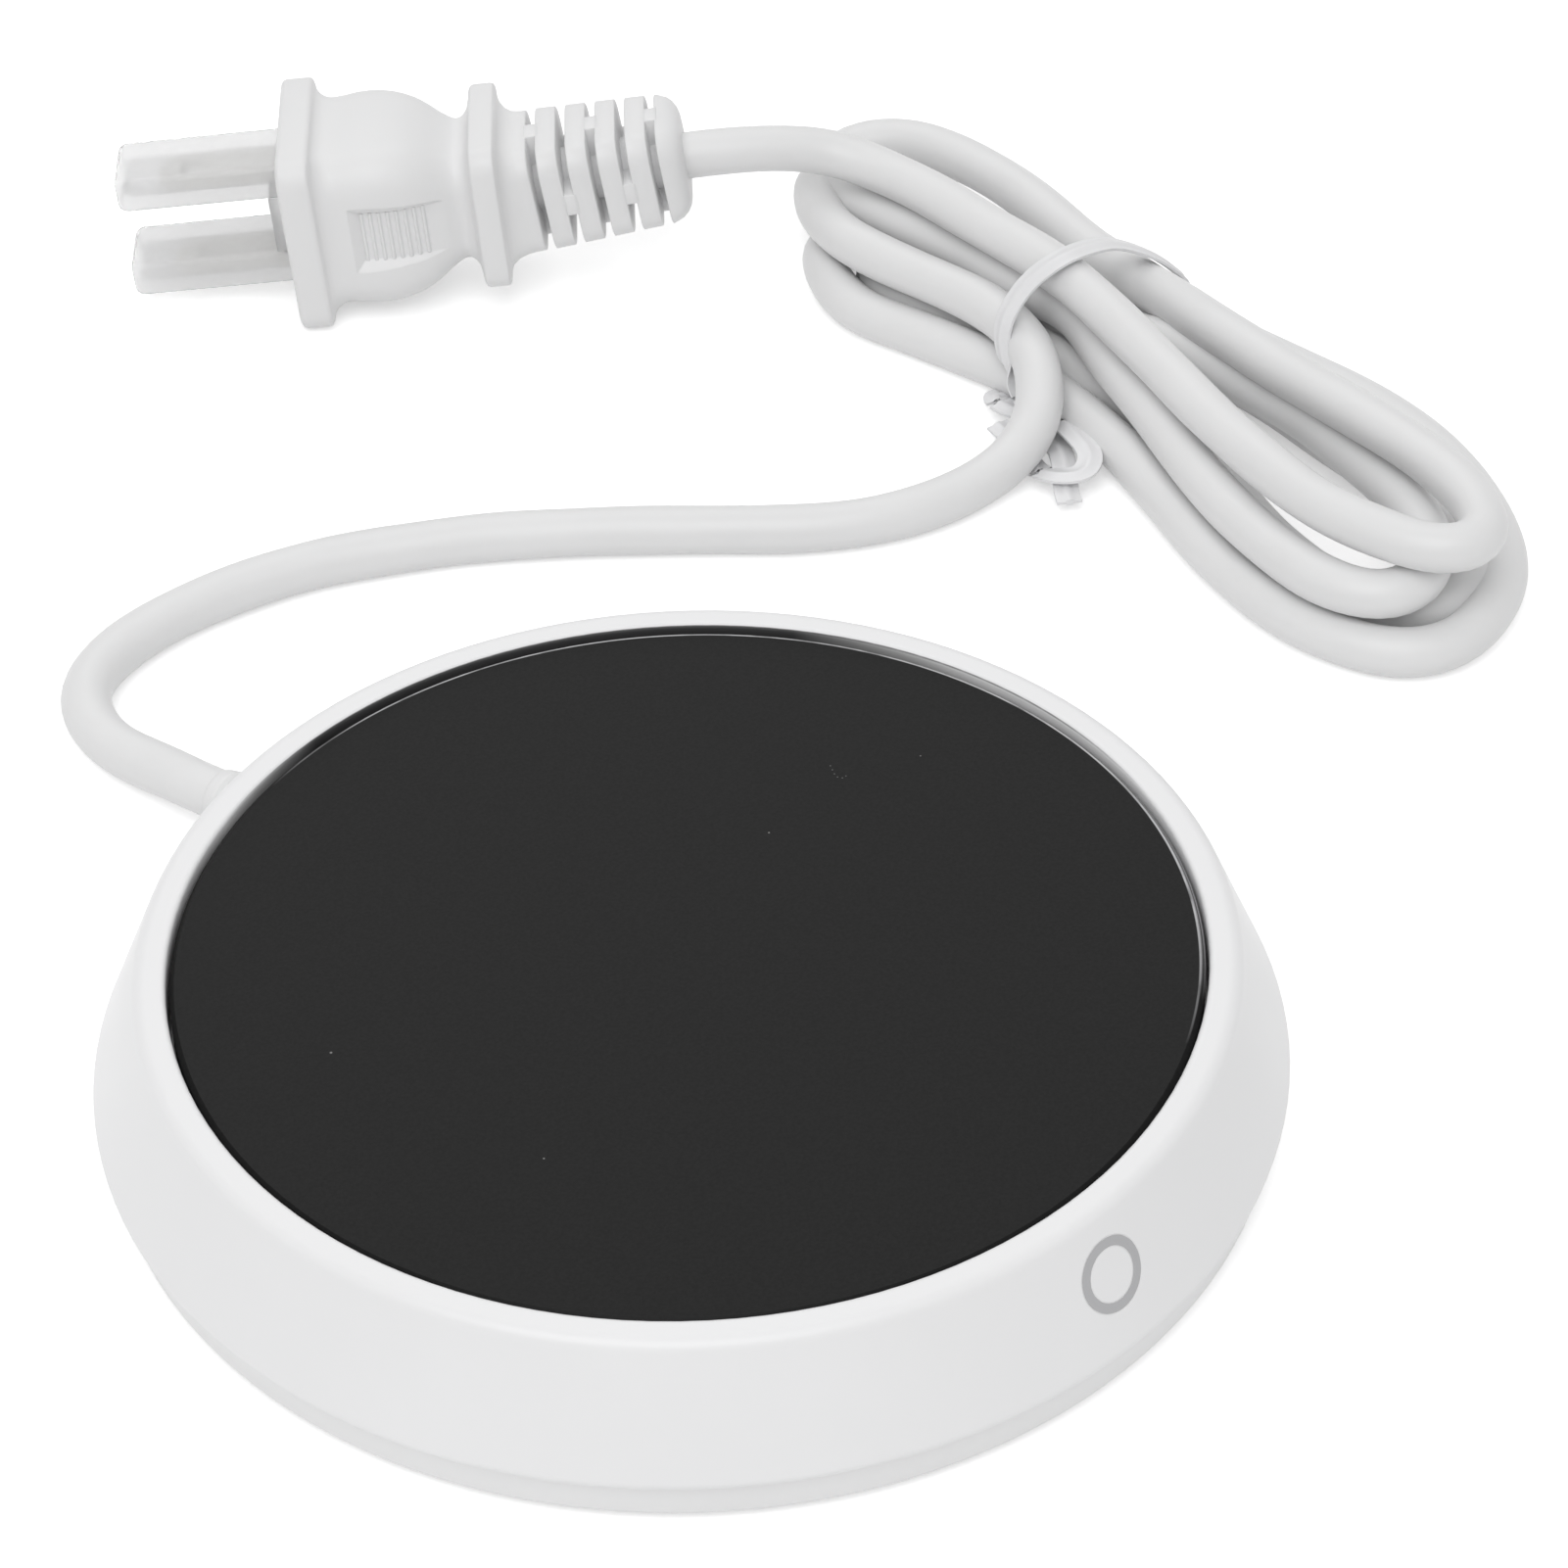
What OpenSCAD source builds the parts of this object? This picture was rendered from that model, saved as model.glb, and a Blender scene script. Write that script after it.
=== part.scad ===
// Electric mug warmer: a round heated glass plate in a low flared housing, with a
// touch key in the skirt, and a mains cord tied in a hank that ends in a two-blade plug.
// The glass and its heater float on three springs and press a switch when a mug stands on
// them. Millimetres, +Z up. Origin: on the housing's axis, at the surface it stands on.
// The cord leaves towards +Y and the touch key faces -Y.

/* [Housing] */
// Largest diameter of the housing, low on its skirt
base_d = 125; // [119:0.5:132]
// How far the rim's outside stands in from the skirt's largest radius
rim_inset = 5.1; // [4:0.1:6.2]
// Width of the rim, from its outside to the opening for the glass plate
lip_w = 3.7; // [3.3:0.1:4.4]
// Height of the rim over the surface that the housing stands on
body_h = 20.2; // [19.6:0.1:26]
// Radius of the round from the rim into the skirt
rim_round = 1.6; // [0.8:0.1:2]
// Radius of the round at the skirt's lower edge
skirt_round = 0.8; // [0.4:0.1:1.2]
// Wall thickness of the skirt
wall_t = 2.2; // [1.6:0.1:2.4]
// Small round on the rim's inner edge
opening_round = 0.5; // [0.2:0.1:0.8]
// Thickness of the collar inside the rim
collar_t = 1.6; // [1.2:0.1:2]
// Thickness of the ledge under the plate
ledge_t = 1.8; // [1.4:0.1:2.4]
// Width of the ledge
ledge_w = 3.1; // [2.9:0.1:3.4]

/* [Base pan] */
// Height of the pan's band under the skirt
band_h = 4.8; // [4:0.1:5.4]
// How far the band stands in from the skirt, at its top
band_inset = 0.9; // [0.6:0.1:1.4]
// Draft of the band from top to bottom
band_draft = 0.5; // [0.2:0.1:0.8]
// Round on the pan's lower edge
pan_round = 0.8; // [0.4:0.1:1]
// Thickness of the pan's floor
floor_t = 2.4; // [2.2:0.1:3]
// Thickness of the pan's side wall
pan_wall_t = 2; // [1.6:0.1:2.4]
// Height of the spigot that centres the skirt
spigot_h = 3; // [2:0.1:3.6]
// Thickness of the spigot
spigot_t = 1.6; // [1.2:0.1:2]

/* [Feet and cover screws] */
// Diameter of a rubber foot
foot_d = 10; // [8:0.5:11]
// Height of a foot below the pan
foot_h = 0.8; // [0.5:0.1:1.5]
// Depth of the pocket that a foot is glued into
foot_pocket = 1; // [0.6:0.1:1.2]
// How far the feet and cover screws stand in from the opening's edge
screw_inset = 3.3; // [2.9:0.1:3.9]
// Shank diameter of a cover screw
screw_d = 2.6; // [2.2:0.1:3]
// Head diameter of a cover screw
screw_head_d = 5.2; // [4.6:0.1:5.6]
// Head height of a cover screw
screw_head_h = 1.6; // [1.2:0.1:2]
// Length of a cover screw below its head
screw_l = 7.4; // [6:0.1:7.6]
// Diameter of the shell's screw posts
post_d = 6.8; // [6:0.1:7.2]
// Height of the bosses under the posts
boss_h = 2; // [1.6:0.1:2.4]

/* [Heating plate] */
// Thickness of the glass
glass_t = 2.8; // [2.4:0.1:3.2]
// Depth of the glass below the rim
plate_recess = 0.7; // [0.3:0.1:1]
// Gap between the glass and the opening, all round
plate_gap = 0.35; // [0.25:0.05:0.5]
// Polished bevel on the glass
glass_bevel = 0.5; // [0.3:0.1:0.8]
// How far the edge of the aluminium heat spreader stands in from the opening's edge
spreader_inset = 8.5; // [8.4:0.1:9.6]
// Thickness of the heat spreader
spreader_t = 1; // [0.8:0.1:1.2]
// How far the edge of the mica heater stands in from the spreader's edge
heater_inset = 2.2; // [1.9:0.1:5]
// Thickness of the mica heater
heater_t = 0.6; // [0.4:0.1:0.8]
// Thickness of the insulation pad
pad_t = 1.2; // [1:0.1:1.4]
// Thickness of the clamp plate
clamp_plate_t = 0.8; // [0.6:0.1:1]
// Thickness of the carrier ring that the glass is bonded to
carrier_t = 1.8; // [1.6:0.1:2]

/* [Float and switch] */
// Travel of the plate when a mug stands on it
travel = 0.8; // [0.5:0.1:1]
// Room left under the carrier at the end of its travel
travel_clear = 0.4; // [0.3:0.1:0.6]
// Outside diameter of a plate spring
spring_d = 4.6; // [4:0.1:4.8]
// Wire diameter of a plate spring
spring_wire = 0.5; // [0.4:0.05:0.6]
// Turns of a plate spring
spring_turns = 4; // [3:1:5]
// How far the springs stand in from the opening's edge
spring_inset = 5.8; // [5.5:0.1:6.1]
// Depth of the cup that a spring stands in
cup_depth = 3.8; // [3.2:0.1:4]
// Diameter of the switch's plunger
plunger_d = 2.4; // [2:0.1:3]

/* [Touch key] */
// Outside diameter of the key's ring
ring_d = 7.8; // [6:0.1:8.4]
// Width of the ring's line
ring_w = 1; // [0.6:0.1:1.6]
// Depth of the ring's inlay
ring_t = 0.8; // [0.4:0.1:1.2]
// Height of the ring's centre
ring_z = 13.9; // [13:0.1:14.4]
// Turn of the key from straight opposite the cord, in degrees
ring_turn = -6; // [-8:1:2]

/* [Cord and bush] */
// Diameter of the cord
cord_d = 6; // [5.6:0.1:6.2]
// Height of the cord where it leaves the housing
cord_exit_z = 7.5; // [7.4:0.1:7.8]
// Diameter of the bush where it fills the notch in the wall
bush_neck_d = 8.2; // [7.8:0.1:8.6]
// Diameter of the bush's collar outside the wall
bush_collar_d = 10.4; // [9.6:0.1:11]
// Length of the bush outside the housing
bush_out = 7; // [5:0.5:9]
// Length of cord jacket inside the housing
stub_l = 22; // [20:0.5:24]

/* [Plug] */
// Side of the plug's front flange
flange_w = 24.8; // [23:0.2:27]
// Thickness of the plug's front flange
flange_t = 4.2; // [3:0.1:5]
// Width of the plug's grip, at its widest
grip_w = 22.4; // [20:0.2:23]
// Side of the plug's rear flange
rear_flange_w = 20.6; // [18:0.2:21.6]
// Width of the strain relief where it starts
relief_w = 15; // [14:0.1:16]
// Length of the moulding along its bent axis, from its front face to the cord
plug_l = 51; // [50:0.1:56]
// Distance between the two blades
blade_pitch = 12.7; // [12.5:0.1:13]
// Width of a blade
blade_w = 6.35; // [6.2:0.05:6.5]
// Thickness of a blade
blade_t = 1.5; // [1.4:0.05:1.6]
// Length of a blade in front of the plug
blade_l = 16; // [15.5:0.5:18]
// Length of the clear cover over the blades
cover_l = 21; // [19.5:0.5:23]

/* [Hidden] */

$fn = 96;
fit_gap = 0.1;
free_gap = 0.3;
cut = 1;

// Colours
shell_white = [0.92, 0.92, 0.93];
cord_white = [0.9, 0.9, 0.91];
plug_white = [0.93, 0.93, 0.93];
glass_black = [0.06, 0.06, 0.065];
ring_grey = [0.68, 0.68, 0.69];
board_green = [0.1, 0.35, 0.2];
steel = [0.7, 0.7, 0.72];

// Levels of the housing
pan_z = foot_h;
floor_z = pan_z + floor_t;
skirt_z = pan_z + band_h;
boss_z = floor_z + boss_h;
boss_rim = 0.6;
screw_gap = 0.2;
blind_floor = 1;
rim_r = base_d / 2 - rim_inset;
opening_r = rim_r - lip_w;
collar_r = opening_r + collar_t;
ledge_in_r = opening_r - ledge_w;

// Rings of screws and springs, and sizes of the stack under the glass
screw_ring_r = opening_r - screw_inset;
spring_ring_r = opening_r - spring_inset;
spreader_d = 2 * (opening_r - spreader_inset);
heater_d = spreader_d - 2 * heater_inset;

// Levels of the floating stack, from the glass down
glass_z = body_h - plate_recess - glass_t;
glass_r = opening_r - plate_gap;
spreader_z = glass_z - spreader_t;
heater_z = spreader_z - heater_t;
pad_z = heater_z - pad_t;
clamp_z = pad_z - clamp_plate_t;
carrier_z = glass_z - carrier_t;
ledge_top_z = carrier_z - travel - travel_clear;
ledge_z = ledge_top_z - ledge_t;

// Outline of the skirt: two rounds and the line that touches both
skirt_c = [base_d / 2 - skirt_round, skirt_z + skirt_round];
rim_c = [rim_r - rim_round, body_h - rim_round];
centre_step = skirt_c - rim_c;
skirt_tilt = atan2(centre_step[0], -centre_step[1])
    - asin((rim_round - skirt_round) / norm(centre_step));
skirt_n = [cos(skirt_tilt), sin(skirt_tilt)];
skirt_line = skirt_n * skirt_c + skirt_round;
rim_t = 2.2;
round_steps = 8;

// Radius of the skirt's surface at a height, a given depth below its outer face
function skirt_r(z, depth = 0) = (skirt_line - depth - skirt_n[1] * z) / skirt_n[0];
// Top of the hollow between the skirt and the collar
hollow_z = body_h - rim_t;
hollow_r = max(skirt_r(hollow_z, wall_t), collar_r + fit_gap);

function arc(c, r, a0, a1, n = round_steps) =
    [for (i = [0:n]) c + r * [cos(a0 + (a1 - a0) * i / n), sin(a0 + (a1 - a0) * i / n)]];

// Angles round the housing
exit_angle = 90;
touch_angle = exit_angle + 180 + ring_turn;
post_angles = [45, 135, 225, 315];
spring_angles = [30, 150, 270];
hook_angles = [60, 180, 300];
ear_angles = [0, 120, 240];

// Base pan
pan_r = base_d / 2 - band_inset - band_draft;
pan_top_r = base_d / 2 - band_inset;
spigot_z = skirt_z + spigot_h;
spigot_r = skirt_r(spigot_z, wall_t) - free_gap;

// Hooks that hold the plate down, and their slots in the ledge
hook_w = 5;
hook_t = 1.2;
hook_r = opening_r - 2.1;
hook_barb = 1.6;
hook_foot = 1.5;
slot_gap = 0.4;

// Springs and their cups
cup_bore = spring_d + 0.4;
cup_d = cup_bore + 1.8;
cup_floor = 0.8;
cup_rib = 0.6;
cup_rib_z = ledge_z - cup_rib;
spring_z = ledge_top_z - cup_depth;
spring_l = carrier_z - spring_z;
spigot_pin_d = spring_d - 2 * spring_wire - 1;
spigot_pin_l = 1.8;

// Clamp plate: its ears are screwed to bosses under the carrier
clamp_plate_d = heater_d + 1.2;
ear_r = spreader_d / 2 + 2.2;
ear_d = 4.4;
ear_screw_d = 1.8;
ear_head_d = 3.4;
ear_head_h = 1.2;
ear_screw_l = clamp_plate_t + 1.8;
plate_window_d = 14;
plate_window_r = clamp_plate_d * 0.3;

// Control board on its standoffs
board_size = [56, 48, 1.6];
board_y = 2;
standoff_h = 2;
standoff_d = 5.6;
board_z = floor_z + standoff_h;
board_top = board_z + board_size[2];
board_hole_inset = 4;
board_hole_x = board_size[0] / 2 - board_hole_inset;
board_hole_y = board_size[1] / 2 - board_hole_inset;
board_screw_d = 2.2;
board_head_d = 4;
board_head_h = 1.3;

// Parts on the control board: centre and size
quarter_x = board_size[0] / 4;
front_y = board_y - board_size[1] / 2;
back_y = board_y + board_size[1] / 2;
terminal_inset = 6;
row_inset = 17;
fuse_inset = 4;
switch_inset = 7;
chip_inset = 14;
terminal_at = [0, back_y - terminal_inset];
terminal_size = [11, 8, 4.6];
film_at = [-quarter_x, back_y - row_inset];
film_size = [15, 7.5, 4.6];
triac_at = [quarter_x, front_y + chip_inset + 2];
triac_size = [9, 10, 2.8];
chip_at = [-quarter_x, front_y + chip_inset];
chip_size = [8.6, 3.9, 1.5];
smoothing_at = [quarter_x, back_y - row_inset];
smoothing_d = 4.8;
smoothing_l = 10;
fuse_at = [-quarter_x, front_y + fuse_inset];
fuse_d = 3.6;
fuse_l = 10;
switch_at = [2, front_y + switch_inset];
switch_size = [12.8, 5.8];
switch_head = 1.3;
switch_h = clamp_z - switch_head - board_top;

// Touch board behind the skirt
touch_board_size = [14, 1.2, 7.4];
touch_spring_z = 9.6;
touch_room = 5.7;
touch_board_r = skirt_r(touch_spring_z, wall_t) - touch_room;
guide_size = [2, 6, 3.4];
window_drop = 1;
touch_spring_d = 3.4;
electrode_t = 0.3;
electrode_span = 14;
led_size = [2.4, 1, 2];
led_z = 4.6;

// Sensor and thermal fuse under the clamp plate
sensor_d = 4.4;
sensor_l = 3.4;
thermal_fuse_d = 3.4;
thermal_fuse_l = 11;
thermal_fuse_at = [-18, -12];
lead_d = 1.6;
lead_hole_d = 3.2;
heater_lead_x = 7;
heater_lead_y = -4;
lead_bow = 2;

// Cord bush and clamp
cord_r = cord_d / 2;
cord_bore_gap = 0.05;
wall_in_y = skirt_r(cord_exit_z, wall_t);
wall_out_y = skirt_r(cord_exit_z);
bush_flange_t = 1.6;
bush_flange_w = 12;
bush_flange_y = sqrt(pow(spigot_r - spigot_t, 2) - pow(bush_flange_w / 2, 2))
    - free_gap - bush_flange_t;
bush_collar_y = wall_out_y + free_gap;
bush_collar_t = 1.4;
bush_end_y = wall_out_y + bush_out;
bush_tip_d = cord_d + 1.6;
stub_y = wall_out_y - stub_l;
notch_gap = 0.1;
clamp_room = 13.7;
clamp_at_y = wall_in_y - clamp_room;
clamp_bar = [22, 6, 1.3];
clamp_screw_x = 7.8;
clamp_boss_d = 5.6;
clamp_screw_d = 2.2;
clamp_head_d = 4;
clamp_head_h = 1;
wire_d = 1.8;
wire_x = 1.4;
wire_z = cord_exit_z + 0.6;

// Everything on the table is placed from the point of the housing's edge under the cord
table_y = base_d / 2;

// Plug: it lies on its side on the front flange's edge, with one blade over the other, and the
// cord lifts its other end; behind the rear flange the strain relief is bent up a little more
edge = 0.4;
plug_at = [84.7, 76];
plug_turn = -48.6;
plug_lift = 4.1;
plug_axis_z = flange_w / 2 * cos(plug_lift) - edge * sin(plug_lift);
rear_flange_y = 23.9;
rear_flange_t = 3.5;
relief_bend = 4.5;
relief_pivot = 31;
relief_gap = 1.2;
relief_pitch = 3.82;
relief_first = 31.6;
relief_gaps = 5;
relief_core = cord_d + 1.2;
relief_web = 3;
blade_in = 4;
cover_wall = 1.5;
cover_gap = 0.2;
cover_base_t = 2;
cover_stand = 0.3;

// Hank: its near and far lobes, each from the pinch to a round end
pinch = [134, -14.5];
pinch_r = 14;
near_end = [120.5, -67.5];
near_r = 22;
far_end = [137.5, 18.5];
far_r = 18;
hank_h = 18;
tie_w = 3;
tie_t = 0.9;
tie_gap = 0.3;
tie_turn = -8;
tie_stub = 9;

// Route of the cord from the bush to the hank: x, y and height over the table
exit_lift = cord_exit_z - cord_d / 2;
exit_reach = bush_end_y - table_y;
tail_route = [
    [0, exit_reach, exit_lift], [0, exit_reach + 1.5, exit_lift], [0, 11.5, 3.6],
    [-0.5, 16.5, 2], [-0.5, 22.5, 0.4], [1, 28.5, 0], [4.5, 33.5, 0], [10, 36, 0],
    [18, 36.5, 0], [28, 34.5, 0], [38, 30.5, 0], [47, 24.5, 0], [56, 17, 0], [64, 8.5, 0],
    [72, -1, 0], [79.5, -10.5, 0], [87, -17.5, 0], [95, -21.5, 0], [103, -22.5, 0],
    [109, -22.1, 0], [113.8, -21.1, 0]
];
// Route of the cord from the plug to the top of the hank
plug_way = [cos(plug_turn), sin(plug_turn)];
relief_out = relief_pivot + (plug_l - relief_pivot) * cos(relief_bend);
relief_up = (plug_l - relief_pivot) * sin(relief_bend);
lead_start = plug_at + (relief_out * cos(plug_lift) - relief_up * sin(plug_lift)) * plug_way;
lead_lift = plug_axis_z + relief_out * sin(plug_lift) + relief_up * cos(plug_lift) - cord_d / 2;
lead_step = 1.5;
lead_next = lead_start + lead_step * cos(relief_bend + plug_lift) * plug_way;
lead_next_lift = lead_lift + lead_step * sin(relief_bend + plug_lift);
lead_route = [
    [lead_start[0], lead_start[1], lead_lift], [lead_next[0], lead_next[1], lead_next_lift],
    [122.3, 33.7, lead_next_lift], [124.6, 31.4, lead_next_lift]
];
cord_sides = 12;

// ---------------------------------------------------------------- shared shapes

// Tube along a route, one ring of points at each place on it
function unit(v) = v / norm(v);
function heading(p, i) = unit(p[min(i + 1, len(p) - 1)] - p[max(i - 1, 0)]);
function ring_points(c, t, r, n, ref) =
    let (side = unit(cross(t, ref)), up = cross(side, t))
    [for (k = [0:n - 1]) c + r * (cos(360 * k / n) * side + sin(360 * k / n) * up)];
module swept_tube(p, r, n, ref = [0, 0, 1]) {
    rings = len(p);
    points = [for (i = [0:rings - 1]) each ring_points(p[i], heading(p, i), r, n, ref)];
    sides = [
        for (i = [0:rings - 2], k = [0:n - 1])
            let (a = i * n + k, b = i * n + (k + 1) % n)
            each [[a, b, b + n], [a, b + n, a + n]]
    ];
    first = [for (k = [n - 1:-1:0]) k];
    last = [for (k = [0:n - 1]) (rings - 1) * n + k];
    polyhedron(points, concat(sides, [first, last]), convexity = 6);
}

// Closed coil of round wire that stands on its end
module coil(d, wire, turns, h, steps = 16, n = 6) {
    r = (d - wire) / 2;
    rise = h - wire;
    count = turns * steps;
    path = [
        for (i = [0:count])
            [r * cos(360 * i / steps), r * sin(360 * i / steps), wire / 2 + rise * i / count]
    ];
    swept_tube(path, wire / 2, n);
}

// Places its children at each angle, at a distance from the axis
module around(angles, r) {
    for (a = angles)
        rotate([0, 0, a])
            translate([r, 0, 0])
                children();
}

module tube(d, bore, h) {
    difference() {
        cylinder(d = d, h = h);
        translate([0, 0, -cut]) cylinder(d = bore, h = h + 2 * cut);
    }
}

module box_at(at, size, z) {
    translate([at[0] - size[0] / 2, at[1] - size[1] / 2, z]) cube(size);
}

// Pan-head screw: the head is above z = 0 and the shank runs down from it
module screw(d, l, head_d, head_h) {
    translate([0, 0, -l]) cylinder(d = d, h = l, $fn = 32);
    difference() {
        cylinder(d = head_d, h = head_h, $fn = 32);
        for (a = [0, 90])
            rotate([0, 0, a])
                translate([-head_d * 0.3, -head_d * 0.07, head_h * 0.5])
                    cube([head_d * 0.6, head_d * 0.14, head_h]);
    }
}

// Frame on the skirt's outer face at the key, with +Z out of the surface
module on_skirt() {
    rotate([0, 0, touch_angle])
        translate([skirt_r(ring_z), 0, ring_z])
            rotate([0, 90 - skirt_tilt, 0])
                children();
}

// Frame along the cord's way out: +Z runs out of the housing
module along_exit(y) {
    translate([0, y, cord_exit_z]) rotate([-90, 0, 0]) children();
}

// ---------------------------------------------------------------- housing

module shell_profile() {
    polygon(concat(
        [[skirt_r(skirt_z, wall_t), skirt_z]],
        arc(skirt_c, skirt_round, -90, skirt_tilt),
        arc(rim_c, rim_round, skirt_tilt, 90),
        arc([opening_r + opening_round, body_h - opening_round], opening_round, 90, 180, 4),
        [
            [opening_r, ledge_top_z], [ledge_in_r, ledge_top_z], [ledge_in_r, ledge_z],
            [collar_r, ledge_z], [collar_r, hollow_z], [hollow_r, hollow_z]
        ]
    ));
}

// Ring in the skirt's outer layer, which may stand out of the surface
module touch_inlay(out = 0) {
    intersection() {
        rotate_extrude()
            polygon([
                [skirt_r(skirt_z, -out), skirt_z], [skirt_r(body_h, -out), body_h],
                [skirt_r(body_h, ring_t), body_h], [skirt_r(skirt_z, ring_t), skirt_z]
            ]);
        on_skirt() translate([0, 0, -2 * ring_t]) tube(ring_d, ring_d - 2 * ring_w, 4 * ring_t);
    }
}

// Half of this hole is in the pan's wall and half in the skirt
module cord_notch() {
    along_exit(spigot_r - spigot_t - cut)
        cylinder(d = bush_neck_d + 2 * notch_gap, h = base_d / 2 - spigot_r + spigot_t + 2 * cut);
}

module upper_shell() {
    post_h = ledge_z + ledge_t / 2 - boss_z;
    color(shell_white)
    difference() {
        union() {
            rotate_extrude($fn = 180) shell_profile();
            around(post_angles, screw_ring_r)
                translate([0, 0, boss_z]) cylinder(d = post_d, h = post_h);
            around(spring_angles, spring_ring_r) {
                    translate([0, 0, spring_z - cup_floor])
                        cylinder(d = cup_d, h = cup_depth + cup_floor);
                    translate([0, -cup_bore / 2, cup_rib_z])
                        cube([opening_r - spring_ring_r + collar_t / 2, cup_bore, ledge_top_z - cup_rib_z]);
                }
        }
        around(post_angles, screw_ring_r)
            translate([0, 0, boss_z - cut])
                cylinder(d = screw_d + fit_gap, h = screw_l - boss_h + cut + free_gap);
        around(spring_angles, spring_ring_r)
            translate([0, 0, spring_z]) cylinder(d = cup_bore, h = cup_depth + cut);
        around(hook_angles, hook_r)
            translate([-slot_gap, -hook_w / 2 - slot_gap, ledge_z - cut])
                cube([hook_t + 2 * slot_gap, hook_w + 2 * slot_gap, ledge_t + 2 * cut]);
        touch_inlay(cut);
        cord_notch();
    }
}

module pan_profile() {
    polygon(concat(
        [[0, pan_z]],
        arc([pan_r - pan_round, pan_z + pan_round], pan_round, -90, 0),
        [
            [pan_top_r, skirt_z], [spigot_r, skirt_z], [spigot_r, spigot_z],
            [spigot_r - spigot_t, spigot_z], [spigot_r - spigot_t, floor_z], [0, floor_z]
        ]
    ));
}

module clamp_bosses() {
    for (s = [-1, 1])
        translate([s * clamp_screw_x, clamp_at_y, floor_z])
            cylinder(d = clamp_boss_d, h = cord_exit_z + cord_r - fit_gap - floor_z);
}

module base_pan() {
    screw_drop = boss_z - screw_head_h - pan_z - foot_pocket;
    color(shell_white)
    difference() {
        union() {
            rotate_extrude($fn = 180) pan_profile();
            around(post_angles, screw_ring_r)
                translate([0, 0, floor_z - cut])
                    cylinder(d = post_d + 2 * boss_rim, h = boss_h + cut);
            for (x = [-board_hole_x, board_hole_x], y = [-board_hole_y, board_hole_y])
                translate([x, board_y + y, floor_z - cut])
                    cylinder(d = standoff_d, h = standoff_h + cut);
            clamp_bosses();
            // Saddle under the cord
            translate([-cord_r, clamp_at_y - clamp_bar[1] / 2, floor_z - cut])
                cube([cord_d, clamp_bar[1], cord_exit_z - cord_r - floor_z + cut + cord_r / 2]);
            // Guides for the touch board
            rotate([0, 0, touch_angle + 90])
                for (s = [-1, 1])
                    translate([
                        s * (touch_board_size[0] - guide_size[0]) / 2 - guide_size[0] / 2,
                        -touch_board_r - guide_size[1] / 2, floor_z - cut
                    ])
                        cube(guide_size + [0, 0, cut]);
        }
        // Foot pockets, head recesses and screw holes
        around(post_angles, screw_ring_r) {
            translate([0, 0, pan_z - cut]) cylinder(d = foot_d + fit_gap, h = foot_pocket + cut);
            translate([0, 0, pan_z])
                cylinder(d = screw_head_d + 2 * screw_gap, h = foot_pocket + screw_head_h);
            translate([0, 0, pan_z]) cylinder(d = screw_d + 2 * screw_gap, h = boss_z);
        }
        for (x = [-board_hole_x, board_hole_x], y = [-board_hole_y, board_hole_y])
            translate([x, board_y + y, pan_z + blind_floor])
                cylinder(d = board_screw_d + fit_gap, h = board_z);
        for (s = [-1, 1])
            translate([s * clamp_screw_x, clamp_at_y, floor_z])
                cylinder(d = clamp_screw_d + fit_gap, h = cord_exit_z + cord_r);
        along_exit(clamp_at_y - clamp_bar[1]) cylinder(d = cord_d + fit_gap, h = 2 * clamp_bar[1]);
        cord_notch();
        // Window in the spigot in front of the touch spring
        rotate([0, 0, touch_angle + 90])
            translate([-touch_board_size[0] / 2, -spigot_r - cut, skirt_z - window_drop])
                cube([touch_board_size[0], spigot_t + 3 * cut, spigot_h + window_drop + cut]);
        rotate([0, 0, touch_angle + 90])
            translate([-touch_board_size[0] / 2 - fit_gap, -touch_board_r - fit_gap, floor_z])
                cube(touch_board_size + [2 * fit_gap, 2 * fit_gap, cut]);
    }
}

module rubber_feet() {
    color([0.16, 0.16, 0.17])
    around(post_angles, screw_ring_r)
        rotate_extrude()
            polygon([
                [0, 0], [foot_d / 2 - foot_h / 2, 0], [foot_d / 2, foot_h / 2],
                [foot_d / 2, foot_h + foot_pocket], [0, foot_h + foot_pocket]
            ]);
}

module cover_screws() {
    color(steel)
    around(post_angles, screw_ring_r)
        translate([0, 0, pan_z + foot_pocket + screw_head_h])
            mirror([0, 0, 1])
                screw(screw_d, screw_l, screw_head_d, screw_head_h);
}

// ---------------------------------------------------------------- touch key

module touch_ring() {
    color(ring_grey) touch_inlay();
}

module touch_electrode() {
    low = touch_spring_z - touch_spring_d / 2 - free_gap;
    high = ring_z + touch_spring_d / 2 + free_gap;
    color([0.8, 0.55, 0.3])
    rotate([0, 0, touch_angle - electrode_span / 2])
        rotate_extrude(angle = electrode_span)
            polygon([
                [skirt_r(low, wall_t), low], [skirt_r(high, wall_t), high],
                [skirt_r(high, wall_t + electrode_t), high], [skirt_r(low, wall_t + electrode_t), low]
            ]);
}

module touch_spring() {
    start = touch_board_r + fit_gap;
    reach = skirt_r(touch_spring_z + touch_spring_d / 2, wall_t + electrode_t) - start - free_gap;
    color(steel)
    rotate([0, 0, touch_angle])
        translate([start, 0, touch_spring_z])
            rotate([0, 90, 0])
                coil(touch_spring_d, 0.45, 3, reach, 12);
}

module touch_board() {
    color(board_green)
    rotate([0, 0, touch_angle + 90])
        translate([-touch_board_size[0] / 2, -touch_board_r, floor_z])
            cube(touch_board_size);
}

module indicator_led() {
    color([0.95, 0.95, 0.85])
    rotate([0, 0, touch_angle + 90])
        translate([touch_board_size[0] / 4, -touch_board_r - led_size[1], floor_z + led_z])
            cube(led_size);
}

// ---------------------------------------------------------------- control board

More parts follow.
